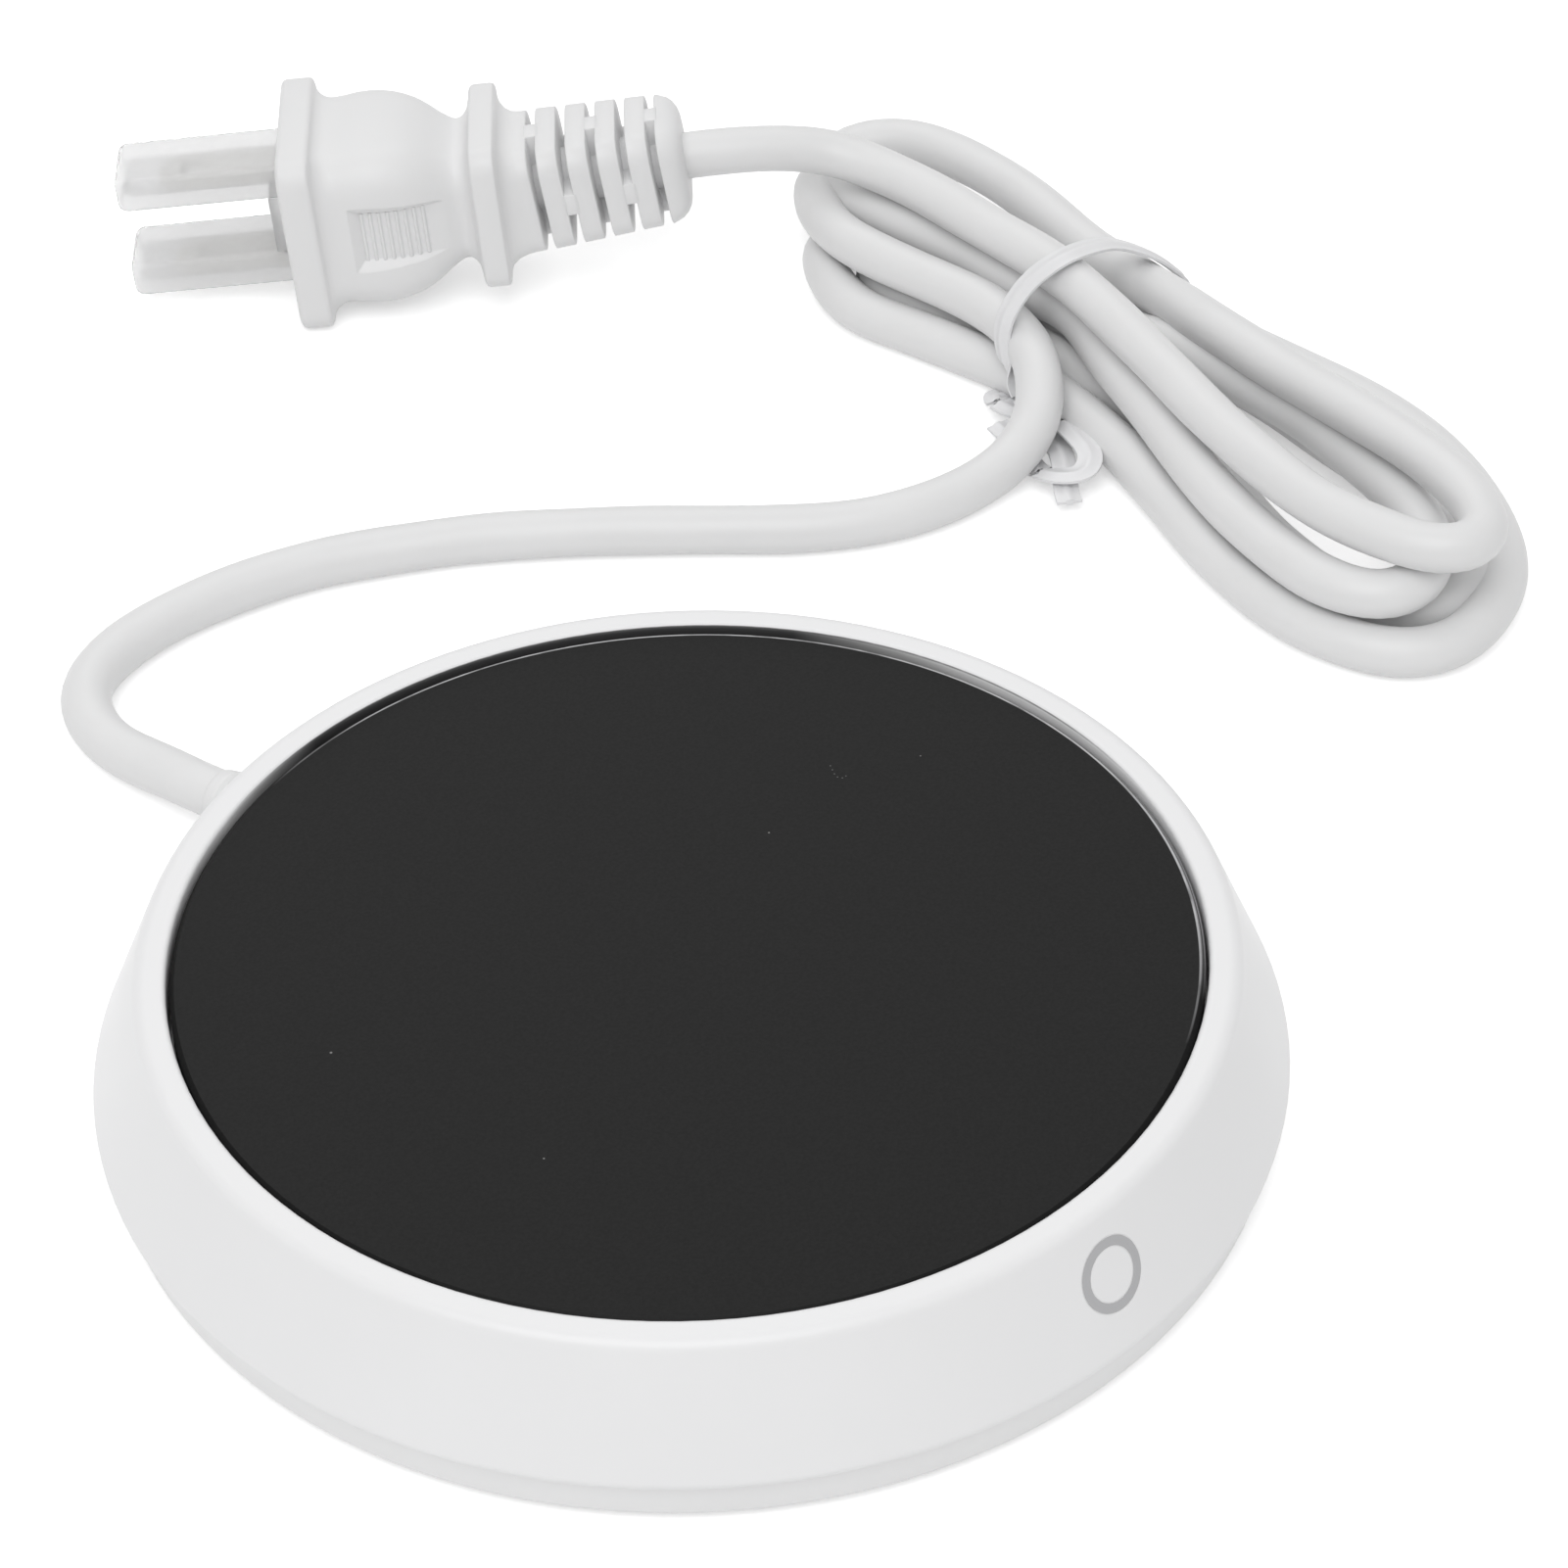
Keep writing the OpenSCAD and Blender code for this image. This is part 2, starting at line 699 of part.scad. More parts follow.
module control_board() {
    color(board_green)
    difference() {
        translate([-board_size[0] / 2, board_y - board_size[1] / 2, board_z]) cube(board_size);
        for (x = [-board_hole_x, board_hole_x], y = [-board_hole_y, board_hole_y])
            translate([x, board_y + y, board_z - cut])
                cylinder(d = board_screw_d + 2 * screw_gap, h = board_size[2] + 2 * cut);
    }
}

module board_screws() {
    color(steel)
    for (x = [-board_hole_x, board_hole_x], y = [-board_hole_y, board_hole_y])
        translate([x, board_y + y, board_top])
            screw(
                board_screw_d, board_top - pan_z - blind_floor - free_gap,
                board_head_d, board_head_h
            );
}

module terminal_block() {
    color([0.15, 0.4, 0.25])
    difference() {
        box_at(terminal_at, terminal_size, board_top);
        for (s = [-1, 1])
            translate([s * terminal_size[0] / 4, terminal_at[1] - 1, board_top + terminal_size[2] - 1.2])
                cylinder(d = 3, h = 2, $fn = 32);
    }
}

module film_capacitor() {
    color([0.75, 0.2, 0.15]) box_at(film_at, film_size, board_top);
}

module smoothing_capacitor() {
    color([0.12, 0.12, 0.14])
    translate([smoothing_at[0], smoothing_at[1] - smoothing_l / 2, board_top + smoothing_d / 2])
        rotate([-90, 0, 0])
            cylinder(d = smoothing_d, h = smoothing_l, $fn = 48);
}

module mains_fuse() {
    color([0.85, 0.85, 0.8])
    translate([fuse_at[0] - fuse_l / 2, fuse_at[1], board_top + fuse_d / 2])
        rotate([0, 90, 0])
            cylinder(d = fuse_d, h = fuse_l, $fn = 48);
}

module triac() {
    color([0.1, 0.1, 0.1]) {
        box_at(triac_at, triac_size, board_top);
        translate([triac_at[0] - 4, triac_at[1] - triac_size[1] / 2 - 3, board_top])
            cube([8, 3, 0.8]);
    }
}

module controller_chip() {
    color([0.1, 0.1, 0.1]) box_at(chip_at, chip_size, board_top);
}

module weight_switch() {
    color([0.12, 0.12, 0.12])
    difference() {
        box_at(switch_at, [switch_size[0], switch_size[1], switch_h], board_top);
        translate([switch_at[0], switch_at[1], clamp_z - switch_head - travel - 1.4])
            cylinder(d = plunger_d + 0.1, h = switch_h, $fn = 48);
    }
}

module switch_plunger() {
    color([0.75, 0.1, 0.1])
    translate([switch_at[0], switch_at[1], clamp_z - switch_head - 1.2])
        cylinder(d = plunger_d, h = switch_head + 1.2 - 0.05, $fn = 48);
}

// ---------------------------------------------------------------- cord inside the housing

module cord_stub() {
    color(cord_white) along_exit(stub_y) cylinder(r = cord_r, h = bush_end_y - stub_y);
}

module cord_bush() {
    flange_h = ledge_z - floor_z - 2 * fit_gap;
    color(cord_white)
    difference() {
        union() {
            intersection() {
                along_exit(bush_flange_y) cylinder(d = bush_flange_w, h = bush_flange_t);
                translate([-bush_flange_w, bush_flange_y - cut, floor_z + fit_gap])
                    cube([2 * bush_flange_w, bush_flange_t + 2 * cut, flange_h]);
            }
            along_exit(bush_flange_y)
                cylinder(d = bush_neck_d, h = bush_collar_y - bush_flange_y + bush_collar_t / 2);
            along_exit(bush_collar_y) cylinder(d = bush_collar_d, h = bush_collar_t);
            // Boot: a cone with two ribs behind its collar
            along_exit(bush_collar_y)
                cylinder(d1 = bush_neck_d, d2 = bush_tip_d, h = bush_end_y - bush_collar_y);
            for (i = [1:2])
                along_exit(bush_collar_y + bush_collar_t + i * 1.7)
                    cylinder(d = bush_neck_d + 1 - 0.5 * i, h = 0.9);
        }
        along_exit(bush_flange_y - cut)
            cylinder(r = cord_r + cord_bore_gap, h = bush_end_y - bush_flange_y + 2 * cut);
    }
}

module cord_clamp() {
    bar_z = cord_exit_z + cord_r - fit_gap;
    color([0.85, 0.85, 0.85])
    difference() {
        translate([-clamp_bar[0] / 2, clamp_at_y - clamp_bar[1] / 2, bar_z]) cube(clamp_bar);
        along_exit(clamp_at_y - clamp_bar[1]) cylinder(r = cord_r, h = 2 * clamp_bar[1]);
        for (s = [-1, 1])
            translate([s * clamp_screw_x, clamp_at_y, bar_z - cut])
                cylinder(d = clamp_screw_d + 0.3, h = clamp_bar[2] + 2 * cut);
    }
}

module cord_clamp_screws() {
    top = cord_exit_z + cord_r - fit_gap + clamp_bar[2];
    color(steel)
    for (s = [-1, 1])
        translate([s * clamp_screw_x, clamp_at_y, top])
            screw(clamp_screw_d, top - floor_z - free_gap, clamp_head_d, clamp_head_h);
}

module supply_leads() {
    color([0.2, 0.2, 0.2])
    for (s = [-1, 1])
        translate([s * wire_x, terminal_at[1] + terminal_size[1] / 2, wire_z])
            rotate([-90, 0, 0])
                cylinder(d = wire_d, h = stub_y - terminal_at[1] - terminal_size[1] / 2, $fn = 32);
}

module heater_leads() {
    rise = heater_z - board_top;
    color([0.9, 0.9, 0.9])
    for (s = [-1, 1])
        translate([s * heater_lead_x, heater_lead_y, board_top])
            swept_tube([
                [0, 0, 0], [0, 0, rise * 0.08], [0, -lead_bow * 0.6, rise * 0.2],
                [0, -lead_bow, rise * 0.33], [0, -lead_bow * 0.6, rise * 0.46],
                [0, 0, rise * 0.58], [0, 0, rise]
            ], lead_d / 2, 8, [1, 0, 0]);
}

// ---------------------------------------------------------------- floating plate

module plate_springs() {
    color(steel)
    around(spring_angles, spring_ring_r)
        translate([0, 0, spring_z])
            coil(spring_d, spring_wire, spring_turns, spring_l, 14);
}

module glass_plate() {
    color(glass_black)
    rotate_extrude($fn = 180)
        polygon([
            [0, glass_z], [glass_r, glass_z], [glass_r, glass_z + glass_t - glass_bevel],
            [glass_r - glass_bevel, glass_z + glass_t], [0, glass_z + glass_t]
        ]);
}

// One sprung hook: a strip through the ledge, with a barb that catches its lower face
module hook() {
    rotate([90, 0, 0])
        translate([0, 0, -hook_w / 2])
            linear_extrude(hook_w)
                polygon([
                    [0, carrier_z + carrier_t / 2], [0, ledge_z - hook_foot], [hook_t, ledge_z - hook_foot],
                    [hook_t + hook_barb, ledge_z - hook_foot / 3], [hook_t + hook_barb, ledge_z],
                    [hook_t, ledge_z], [hook_t, carrier_z + carrier_t / 2]
                ]);
}

module plate_carrier() {
    color([0.2, 0.2, 0.22])
    difference() {
        union() {
            translate([0, 0, carrier_z])
                tube(2 * (glass_r - free_gap), spreader_d + 2 * free_gap, carrier_t);
            around(hook_angles, hook_r) hook();
            around(ear_angles, ear_r)
                translate([0, 0, clamp_z + clamp_plate_t])
                    cylinder(d = ear_d, h = carrier_z - clamp_z - clamp_plate_t + carrier_t);
            around(spring_angles, spring_ring_r)
                translate([0, 0, carrier_z - spigot_pin_l])
                    cylinder(d = spigot_pin_d, h = spigot_pin_l + carrier_t);
        }
        around(ear_angles, ear_r)
            translate([0, 0, clamp_z])
                cylinder(d = ear_screw_d + fit_gap, h = ear_screw_l + free_gap, $fn = 32);
    }
}

module heat_spreader() {
    color([0.8, 0.8, 0.82])
    translate([0, 0, spreader_z]) cylinder(d = spreader_d, h = spreader_t, $fn = 144);
}

module heater_disc() {
    color([0.7, 0.6, 0.4])
    translate([0, 0, heater_z]) tube(heater_d, sensor_d + 2 * free_gap, heater_t);
}

module lead_holes(z, h) {
    for (s = [-1, 1])
        translate([s * heater_lead_x, heater_lead_y, z - cut])
            cylinder(d = lead_hole_d, h = h + 2 * cut, $fn = 32);
}

module insulation_pad() {
    color([0.93, 0.92, 0.88])
    difference() {
        translate([0, 0, pad_z]) tube(heater_d, sensor_d + 2 * free_gap, pad_t);
        lead_holes(pad_z, pad_t);
    }
}

module clamp_plate() {
    color(steel)
    difference() {
        union() {
            translate([0, 0, clamp_z]) cylinder(d = clamp_plate_d, h = clamp_plate_t);
            around(ear_angles, 0)
                translate([0, -ear_d / 2, clamp_z])
                    cube([ear_r, ear_d, clamp_plate_t]);
            around(ear_angles, ear_r)
                translate([0, 0, clamp_z]) cylinder(d = ear_d, h = clamp_plate_t);
        }
        around(ear_angles, ear_r)
            translate([0, 0, clamp_z - cut])
                cylinder(d = ear_screw_d + 0.3, h = clamp_plate_t + 2 * cut, $fn = 32);
        translate([0, 0, clamp_z - cut])
            cylinder(d = sensor_d + 2 * free_gap, h = clamp_plate_t + 2 * cut);
        lead_holes(clamp_z, clamp_plate_t);
        around(hook_angles, plate_window_r)
            translate([0, 0, clamp_z - cut])
                cylinder(d = plate_window_d, h = clamp_plate_t + 2 * cut);
    }
}

module clamp_plate_screws() {
    color(steel)
    around(ear_angles, ear_r)
        translate([0, 0, clamp_z])
            mirror([0, 0, 1])
                screw(ear_screw_d, ear_screw_l, ear_head_d, ear_head_h);
}

module temperature_sensor() {
    color([0.2, 0.2, 0.25])
    translate([0, 0, spreader_z - sensor_l]) cylinder(d = sensor_d, h = sensor_l, $fn = 48);
}

module fuse_axis(l) {
    translate([thermal_fuse_at[0] - l / 2, thermal_fuse_at[1], clamp_z - thermal_fuse_d / 2 - fit_gap])
        rotate([0, 90, 0])
            children();
}

module thermal_fuse() {
    color([0.75, 0.72, 0.6])
    fuse_axis(thermal_fuse_l)
        cylinder(d = thermal_fuse_d, h = thermal_fuse_l, $fn = 48);
}

module fuse_strap() {
    w = 3;
    t = 0.5;
    outer = thermal_fuse_d + 2 * fit_gap + 2 * t;
    color(steel)
    difference() {
        union() {
            fuse_axis(w) cylinder(d = outer, h = w, $fn = 48);
            translate([thermal_fuse_at[0] - w / 2, thermal_fuse_at[1] - outer / 2, clamp_z - outer / 2])
                cube([w, outer, outer / 2]);
            translate([thermal_fuse_at[0] - w / 2, thermal_fuse_at[1] - outer / 2 - 2, clamp_z - t])
                cube([w, outer + 4, t]);
        }
        fuse_axis(w + 2) cylinder(d = thermal_fuse_d + 2 * fit_gap, h = w + 2, $fn = 48);
        translate([
            thermal_fuse_at[0] - w, thermal_fuse_at[1] - outer / 2 + t, clamp_z - thermal_fuse_d / 2
        ])
            cube([2 * w, outer - 2 * t, thermal_fuse_d]);
        translate([thermal_fuse_at[0] - w, thermal_fuse_at[1] - outer, clamp_z])
            cube([2 * w, 2 * outer, outer]);
    }
}

// ---------------------------------------------------------------- cord on the table

module on_table() {
    translate([0, table_y, 0]) children();
}

module cord_tail() {
    color(cord_white) on_table() translate([0, 0, cord_r]) swept_tube(tail_route, cord_r, cord_sides);
}

module cord_lead() {
    color(cord_white) on_table() translate([0, 0, cord_r]) swept_tube(lead_route, cord_r, cord_sides);
}

// Round end of a lobe, from one tangent to the pinch to the other
function lobe_end(end, r) =
    let (
        turn = atan2(end[1] - pinch[1], end[0] - pinch[0]),
        lean = asin((r - pinch_r) / norm(end - pinch))
    )
    arc(end, r, turn - 90 - lean, turn + 90 + lean, 20);
function pinch_side(side) =
    pinch + pinch_r * [side * cos(tie_turn), side * sin(tie_turn)];

// Loop of the tie round the pinch, as a block of the given growth
module tie_block(grow, w) {
    translate([pinch[0], pinch[1], 0])
        rotate([0, 0, tie_turn])
            translate([-pinch_r - grow, -w / 2, -grow])
                cube([2 * (pinch_r + grow), w, hank_h + 2 * grow]);
}

module cord_hank() {
    color(cord_white)
    on_table() difference() {
        linear_extrude(hank_h)
            polygon(concat(
                lobe_end(near_end, near_r), [pinch_side(1)],
                lobe_end(far_end, far_r), [pinch_side(-1)]
            ));
        difference() {
            tie_block(near_r, tie_w + 2 * tie_gap);
            tie_block(-tie_t - tie_gap, tie_w + 4 * tie_gap);
        }
    }
}

module twist_tie() {
    color([0.95, 0.95, 0.95])
    on_table() {
        difference() {
            tie_block(0, tie_w);
            tie_block(-tie_t, tie_w + 2 * cut);
        }
        translate([pinch[0], pinch[1], 0])
            rotate([0, 0, tie_turn])
                translate([-pinch_r - tie_stub, -tie_w / 2, tie_gap])
                    cube([tie_stub + tie_t / 2, tie_w, 1.6]);
    }
}

// ---------------------------------------------------------------- plug

// Frame of the plug: its axis is +Z from the front face to the cord, +X is up
module in_plug() {
    translate([plug_at[0], table_y + plug_at[1], plug_axis_z])
        rotate([0, 0, plug_turn])
            rotate([0, -plug_lift, 0])
                rotate([0, 90, 0])
                    rotate([0, 0, 180])
                        children();
}

// Outline of a square of side s with round corners
corner_steps = 5;
function round_square(s, r, z) = [
    for (q = [0:3], i = [0:corner_steps])
        let (a = 90 * q + 90 * i / corner_steps, m = s / 2 - r, d = 45 + 90 * q)
        [m * sign(cos(d)) + r * cos(a), m * sign(sin(d)) + r * sin(a), z]
];
// The same outline turned about the strain relief's pivot by an angle
function bent(p, a) = let (d = p[2] - relief_pivot)
    [p[0] * cos(a) + d * sin(a), p[1], relief_pivot + d * cos(a) - p[0] * sin(a)];
// Skin over a stack of such outlines: each station is [z, side, corner, share of the bend]
module square_loft(stations) {
    n = 4 * (corner_steps + 1);
    rows = len(stations);
    points = [
        for (s = stations, p = round_square(s[1], s[2], s[0])) bent(p, s[3] * relief_bend)
    ];
    sides = [
        for (i = [0:rows - 2], k = [0:n - 1])
            [i * n + k, (i + 1) * n + k, (i + 1) * n + (k + 1) % n, i * n + (k + 1) % n]
    ];
    first = [for (k = [0:n - 1]) k];
    last = [for (k = [n - 1:-1:0]) (rows - 1) * n + k];
    polyhedron(points, concat(sides, [first, last]), convexity = 8);
}

neck_w = relief_w - 0.2;
relief_end_w = relief_w - 1.4;
rear_end = rear_flange_y + rear_flange_t;
plug_stations = [
    [0, flange_w - 2 * edge, 2.8, 0], [edge, flange_w, 3, 0], [flange_t - edge, flange_w, 3, 0],
    [flange_t, flange_w - edge, 3, 0], [flange_t + 0.5, grip_w + 0.7, 4.2, 0],
    [flange_t + 1.6, grip_w - 0.7, 4.6, 0], [7.5, grip_w - 0.6, 4.8, 0], [10, grip_w, 5, 0],
    [12.5, grip_w, 5, 0], [15, grip_w - 0.8, 5, 0], [17.5, grip_w - 2.2, 5, 0],
    [19, grip_w - 3.9, 4.8, 0], [20.5, grip_w - 5.8, 4.5, 0], [22.1, neck_w, 4, 0],
    [23.1, neck_w + 0.5, 4, 0], [rear_flange_y - 0.3, neck_w + 2, 3.6, 0],
    [rear_flange_y, rear_flange_w - edge, 3, 0], [rear_flange_y + edge, rear_flange_w, 3, 0],
    [rear_end - edge, rear_flange_w, 3, 0], [rear_end, rear_flange_w - edge, 3, 0],
    [rear_end + 0.3, relief_w + 2.6, 3.2, 0], [rear_end + 1.2, relief_w + 0.8, 3.2, 0.3],
    [rear_end + 2.4, relief_w + 0.1, 3.2, 0.7], [rear_end + 4, relief_w, 3.2, 1],
    [plug_l - 2.4, relief_end_w, 3.2, 1], [plug_l - 0.9, relief_end_w - 0.7, 3, 1],
    [plug_l, relief_end_w - 2.4, 2.6, 1]
];

// One gap of the strain relief: cut all round, but for the core and two webs
module relief_cut(i) {
    big = 2 * relief_w;
    z = relief_first + i * relief_pitch;
    turn = i % 2 == 0 ? 0 : 90;
    translate([0, 0, relief_pivot])
        rotate([0, relief_bend, 0])
            translate([0, 0, z - relief_pivot])
                rotate([0, 0, turn])
                    difference() {
                        translate([-big / 2, -big / 2, 0]) cube([big, big, relief_gap]);
                        translate([0, 0, -cut])
                            cylinder(d = relief_core, h = relief_gap + 2 * cut, $fn = 32);
                        translate([-big / 2 - cut, -relief_web / 2, -cut])
                            cube([big + 2 * cut, relief_web, relief_gap + 2 * cut]);
                    }
}

// Ridged grip: a sloped recess on each side of the plug, with ribs across it
module grip_cut(side) {
    depth = 1.1;
    ribs = 7;
    pitch = 1.3;
    start = 8.6;
    h = 8.6;
    rotate([0, 0, side])
        difference() {
            translate([-h / 2, grip_w / 2 - depth, start]) cube([h, depth + cut, ribs * pitch + 0.6]);
            for (i = [0:ribs - 1])
                translate([-h / 2, grip_w / 2 - depth, start + 0.9 + i * pitch])
                    cube([h, 0.5, pitch / 2]);
        }
}

module blade_slots(extra) {
    for (s = [-1, 1])
        translate([s * blade_pitch / 2 - blade_t / 2 - extra, -blade_w / 2 - extra, 0])
            children();
}

module plug_moulding() {
    color(plug_white)
    in_plug()
        difference() {
            square_loft(plug_stations);
            for (i = [0:relief_gaps - 1]) relief_cut(i);
            for (side = [0, 180]) grip_cut(side);
            blade_slots(0) translate([0, 0, -cut]) cube([blade_t, blade_w, blade_in + cut]);
        }
}

module plug_blades() {
    hole_at = 11.7;
    color([0.82, 0.78, 0.6])
    in_plug()
        for (s = [-1, 1])
            difference() {
                translate([s * blade_pitch / 2 - blade_t / 2, 0, 0])
                    rotate([0, 90, 0])
                        linear_extrude(blade_t)
                            polygon([
                                [-blade_in, -blade_w / 2], [-blade_in, blade_w / 2],
                                [blade_l - 1.6, blade_w / 2], [blade_l, blade_w / 2 - 1.6],
                                [blade_l, -blade_w / 2 + 1.6], [blade_l - 1.6, -blade_w / 2]
                            ]);
                translate([s * blade_pitch / 2 - blade_t, 0, -hole_at])
                    rotate([0, 90, 0])
                        cylinder(d = 3.2, h = 2 * blade_t, $fn = 32);
            }
}

module blade_cover() {
    t = blade_t + 2 * cover_gap;
    w = blade_w + 2 * cover_gap;
    out_t = t + 2 * cover_wall;
    out_w = w + 2 * cover_wall;
    base = blade_pitch + out_t;
    color([0.9, 0.92, 0.93, 0.5])
    in_plug()
        translate([0, 0, -cover_stand])
            mirror([0, 0, 1])
                difference() {
                    union() {
                        for (s = [-1, 1])
                            translate([s * blade_pitch / 2 - out_t / 2, -out_w / 2, 0])
                                cube([out_t, out_w, cover_l]);
                        translate([-base / 2, -out_w / 2, 0]) cube([base, out_w, cover_base_t]);
                    }
                    for (s = [-1, 1])
                        translate([s * blade_pitch / 2 - t / 2, -w / 2, -cut])
                            cube([t, w, cover_l - cover_wall + cut]);
                }
}

base_pan();
upper_shell();
rubber_feet();
cover_screws();
touch_ring();
touch_electrode();
touch_spring();
touch_board();
indicator_led();
control_board();
board_screws();
terminal_block();
film_capacitor();
smoothing_capacitor();
mains_fuse();
triac();
controller_chip();
weight_switch();
cord_stub();
cord_bush();
cord_clamp();
cord_clamp_screws();
supply_leads();
heater_leads();
plate_springs();
glass_plate();
plate_carrier();
heat_spreader();
heater_disc();
insulation_pad();
clamp_plate();
clamp_plate_screws();
temperature_sensor();
thermal_fuse();
fuse_strap();
switch_plunger();
cord_tail();
cord_hank();
cord_lead();
twist_tie();
plug_moulding();
plug_blades();
blade_cover();
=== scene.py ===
"""Looks of the electric mug warmer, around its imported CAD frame. Metres, +Z up."""

import math

import bpy
import numpy as np
from mathutils import Matrix, Vector


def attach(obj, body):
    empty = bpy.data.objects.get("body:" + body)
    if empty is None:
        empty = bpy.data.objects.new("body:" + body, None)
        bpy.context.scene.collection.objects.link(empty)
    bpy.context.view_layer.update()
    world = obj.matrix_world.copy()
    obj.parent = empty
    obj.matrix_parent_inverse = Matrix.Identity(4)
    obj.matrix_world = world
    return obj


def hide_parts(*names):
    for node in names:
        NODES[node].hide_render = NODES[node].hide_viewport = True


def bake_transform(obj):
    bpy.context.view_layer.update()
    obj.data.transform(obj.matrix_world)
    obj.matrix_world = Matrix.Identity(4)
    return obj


MM = 0.001
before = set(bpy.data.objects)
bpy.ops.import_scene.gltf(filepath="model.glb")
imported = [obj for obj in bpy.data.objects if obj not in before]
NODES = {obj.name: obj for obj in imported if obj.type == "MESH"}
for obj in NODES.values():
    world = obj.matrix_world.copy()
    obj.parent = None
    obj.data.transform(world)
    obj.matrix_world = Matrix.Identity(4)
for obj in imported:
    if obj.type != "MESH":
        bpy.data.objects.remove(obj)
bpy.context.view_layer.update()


def placed(name, data):
    """A new object in the scene."""
    obj = bpy.data.objects.new(name, data)
    bpy.context.scene.collection.objects.link(obj)
    return obj


def extent(node, axis):
    """Where a CAD piece starts and ends along an axis, in mm."""
    at = [v.co[axis] / MM for v in NODES[node].data.vertices]
    return min(at), max(at)


# ------------------------------------------------------------------ camera
def make_camera():
    """The view of the photograph: about 520 mm away, 43 degrees up."""
    right = Vector((0.63456, -0.77261, -0.01986))
    up = Vector((0.50199, 0.39248, 0.77069))
    back = -Vector((0.58765, 0.49902, -0.6369))
    data = bpy.data.cameras.new("camera")
    data.lens = 113.05
    data.sensor_width = 36
    data.clip_start = 0.01
    data.clip_end = 20
    cam = placed("camera", data)
    turn = Matrix((right, up, back)).transposed().to_4x4()
    cam.matrix_world = Matrix.Translation(Vector((-283.62, -254.47, 355.87)) * MM) @ turn
    bpy.context.scene.camera = cam


make_camera()

# ------------------------------------------------------------------ sizes and routes, in mm
CORD_R = 2.96
CORD_MEAN, CORD_BULGE = 0.994, 0.011  # shares of the radius: its mean, and more over a core
CORD_TWIST = 34  # length of one turn of the two cores
CORD_EXIT_Z = 7.5  # the cord's axis where it passes the housing's wall
# From inside the bush, along the table to the hank
TAIL = [
    (0, 59.6, 7.5), (0, 62, 7.2), (-0.3, 65.2, 5.5), (-0.5, 68.5, 5.1), (-0.4, 73.9, 4.5),
    (-0.1, 79.8, 3.6), (-0.2, 85.6, 3.05), (1.2, 91, 3), (4.5, 96, 3), (10, 98.5, 3), (18, 99, 3),
    (28, 97, 3), (38, 93, 3), (47, 87, 3), (56, 79.5, 3), (64, 71, 3), (72, 61.5, 3),
    (79.5, 52, 3), (87, 45, 3), (95, 41, 3), (103, 39.5, 3), (108, 39, 4),
]
# Through the tie, round the loops from the lowest to the highest, and up to the plug
HANK = [
    (113.5, 40, 6.5), (117, 43, 9), (121, 47.5, 9), (124.5, 56, 9), (125, 65, 9), (125, 74, 9),
    (125.9, 81.4, 9), (130.6, 89.1, 8), (138.5, 94.8, 6), (140.5, 92.6, 4.5), (144, 87, 3),
    (145.4, 79, 3), (145.2, 70, 3), (143.6, 60, 3), (142.6, 52, 3), (144.4, 40, 3),
    (144.2, 29, 3), (143.5, 14, 3), (141.4, 3, 3), (137, -6.4, 3), (131, -14.8, 3),
    (123.6, -20.8, 3), (116, -23.2, 3), (109, -23, 3), (104, -19, 3), (102, -11, 3), (103, -1, 3),
    (107, 10, 3), (112, 20, 3), (117, 30, 3), (120.5, 41, 3), (122, 50, 3), (122, 58, 3),
    (121.5, 66, 3), (121, 75, 3), (124.4, 82.2, 3), (129.4, 87, 3), (135, 86.4, 3),
    (138.8, 80, 3), (139.5, 71, 3), (138.5, 62, 3), (137, 52, 3), (138.5, 40, 3), (137.5, 25, 3),
    (134, 10, 3), (131, -3, 3), (128, -12, 3), (122, -18, 3), (114.5, -18.5, 3), (109.5, -12, 3),
    (110.5, -2.5, 3), (114.5, 8.5, 3), (120.5, 20, 3), (125, 32, 3), (127, 43, 3), (128, 52, 3),
    (127.5, 60, 3), (126.6, 68, 3), (126.6, 73.5, 3), (127.6, 77.2, 3), (130.4, 79.3, 3),
    (133.2, 77.3, 3), (134, 73.5, 3), (134, 67, 3), (133, 60, 3), (132.5, 52, 3.5),
    (133, 35.5, 8), (131.5, 22, 8.5), (129, 10.5, 9), (126.5, 3, 9), (122.5, -7, 9),
    (117.5, -14, 9), (110.5, -17.5, 9), (105.5, -16, 9), (103.5, -9.5, 9), (105.5, 0.5, 9),
    (111, 13.5, 9), (118, 25.5, 9), (124.5, 37.5, 9), (130.5, 48, 9), (131, 57, 9),
    (132.5, 65, 9), (133, 73, 9), (133, 81, 9), (135.7, 89.4, 8), (138.7, 93.6, 7.5),
    (145, 95.4, 7.5), (149, 90.2, 8.5), (149.8, 82.6, 9), (148.8, 73, 9), (146, 63, 9),
    (143, 54, 8.6), (140.8, 46, 9.3), (133.5, 29, 13), (129, 12.5, 14), (126, 0, 15),
    (123.5, -10.5, 15), (119.5, -19, 15), (114.5, -23, 15), (110, -20.5, 15), (108.5, -13, 15),
    (108.5, -5, 15), (111, 4.5, 15), (115.5, 16.5, 15), (120.5, 27.5, 15), (125.5, 39, 15),
    (129.5, 50, 15), (131.5, 62, 15), (133.4, 73.5, 15), (133.7, 81, 15.1), (132.6, 86.6, 15.8),
    (130, 89.8, 16.7), (126.8, 92.6, 17.4), (123.5, 95.3, 17.8),
]
PLUG_L = 51
BLADE_AT = 6.35  # from the plug's axis to the middle of a blade
BLADE_T, BLADE_W, BLADE_SLOT = 1.5, 6.35, 4  # thickness, width, depth of its slot in the plug
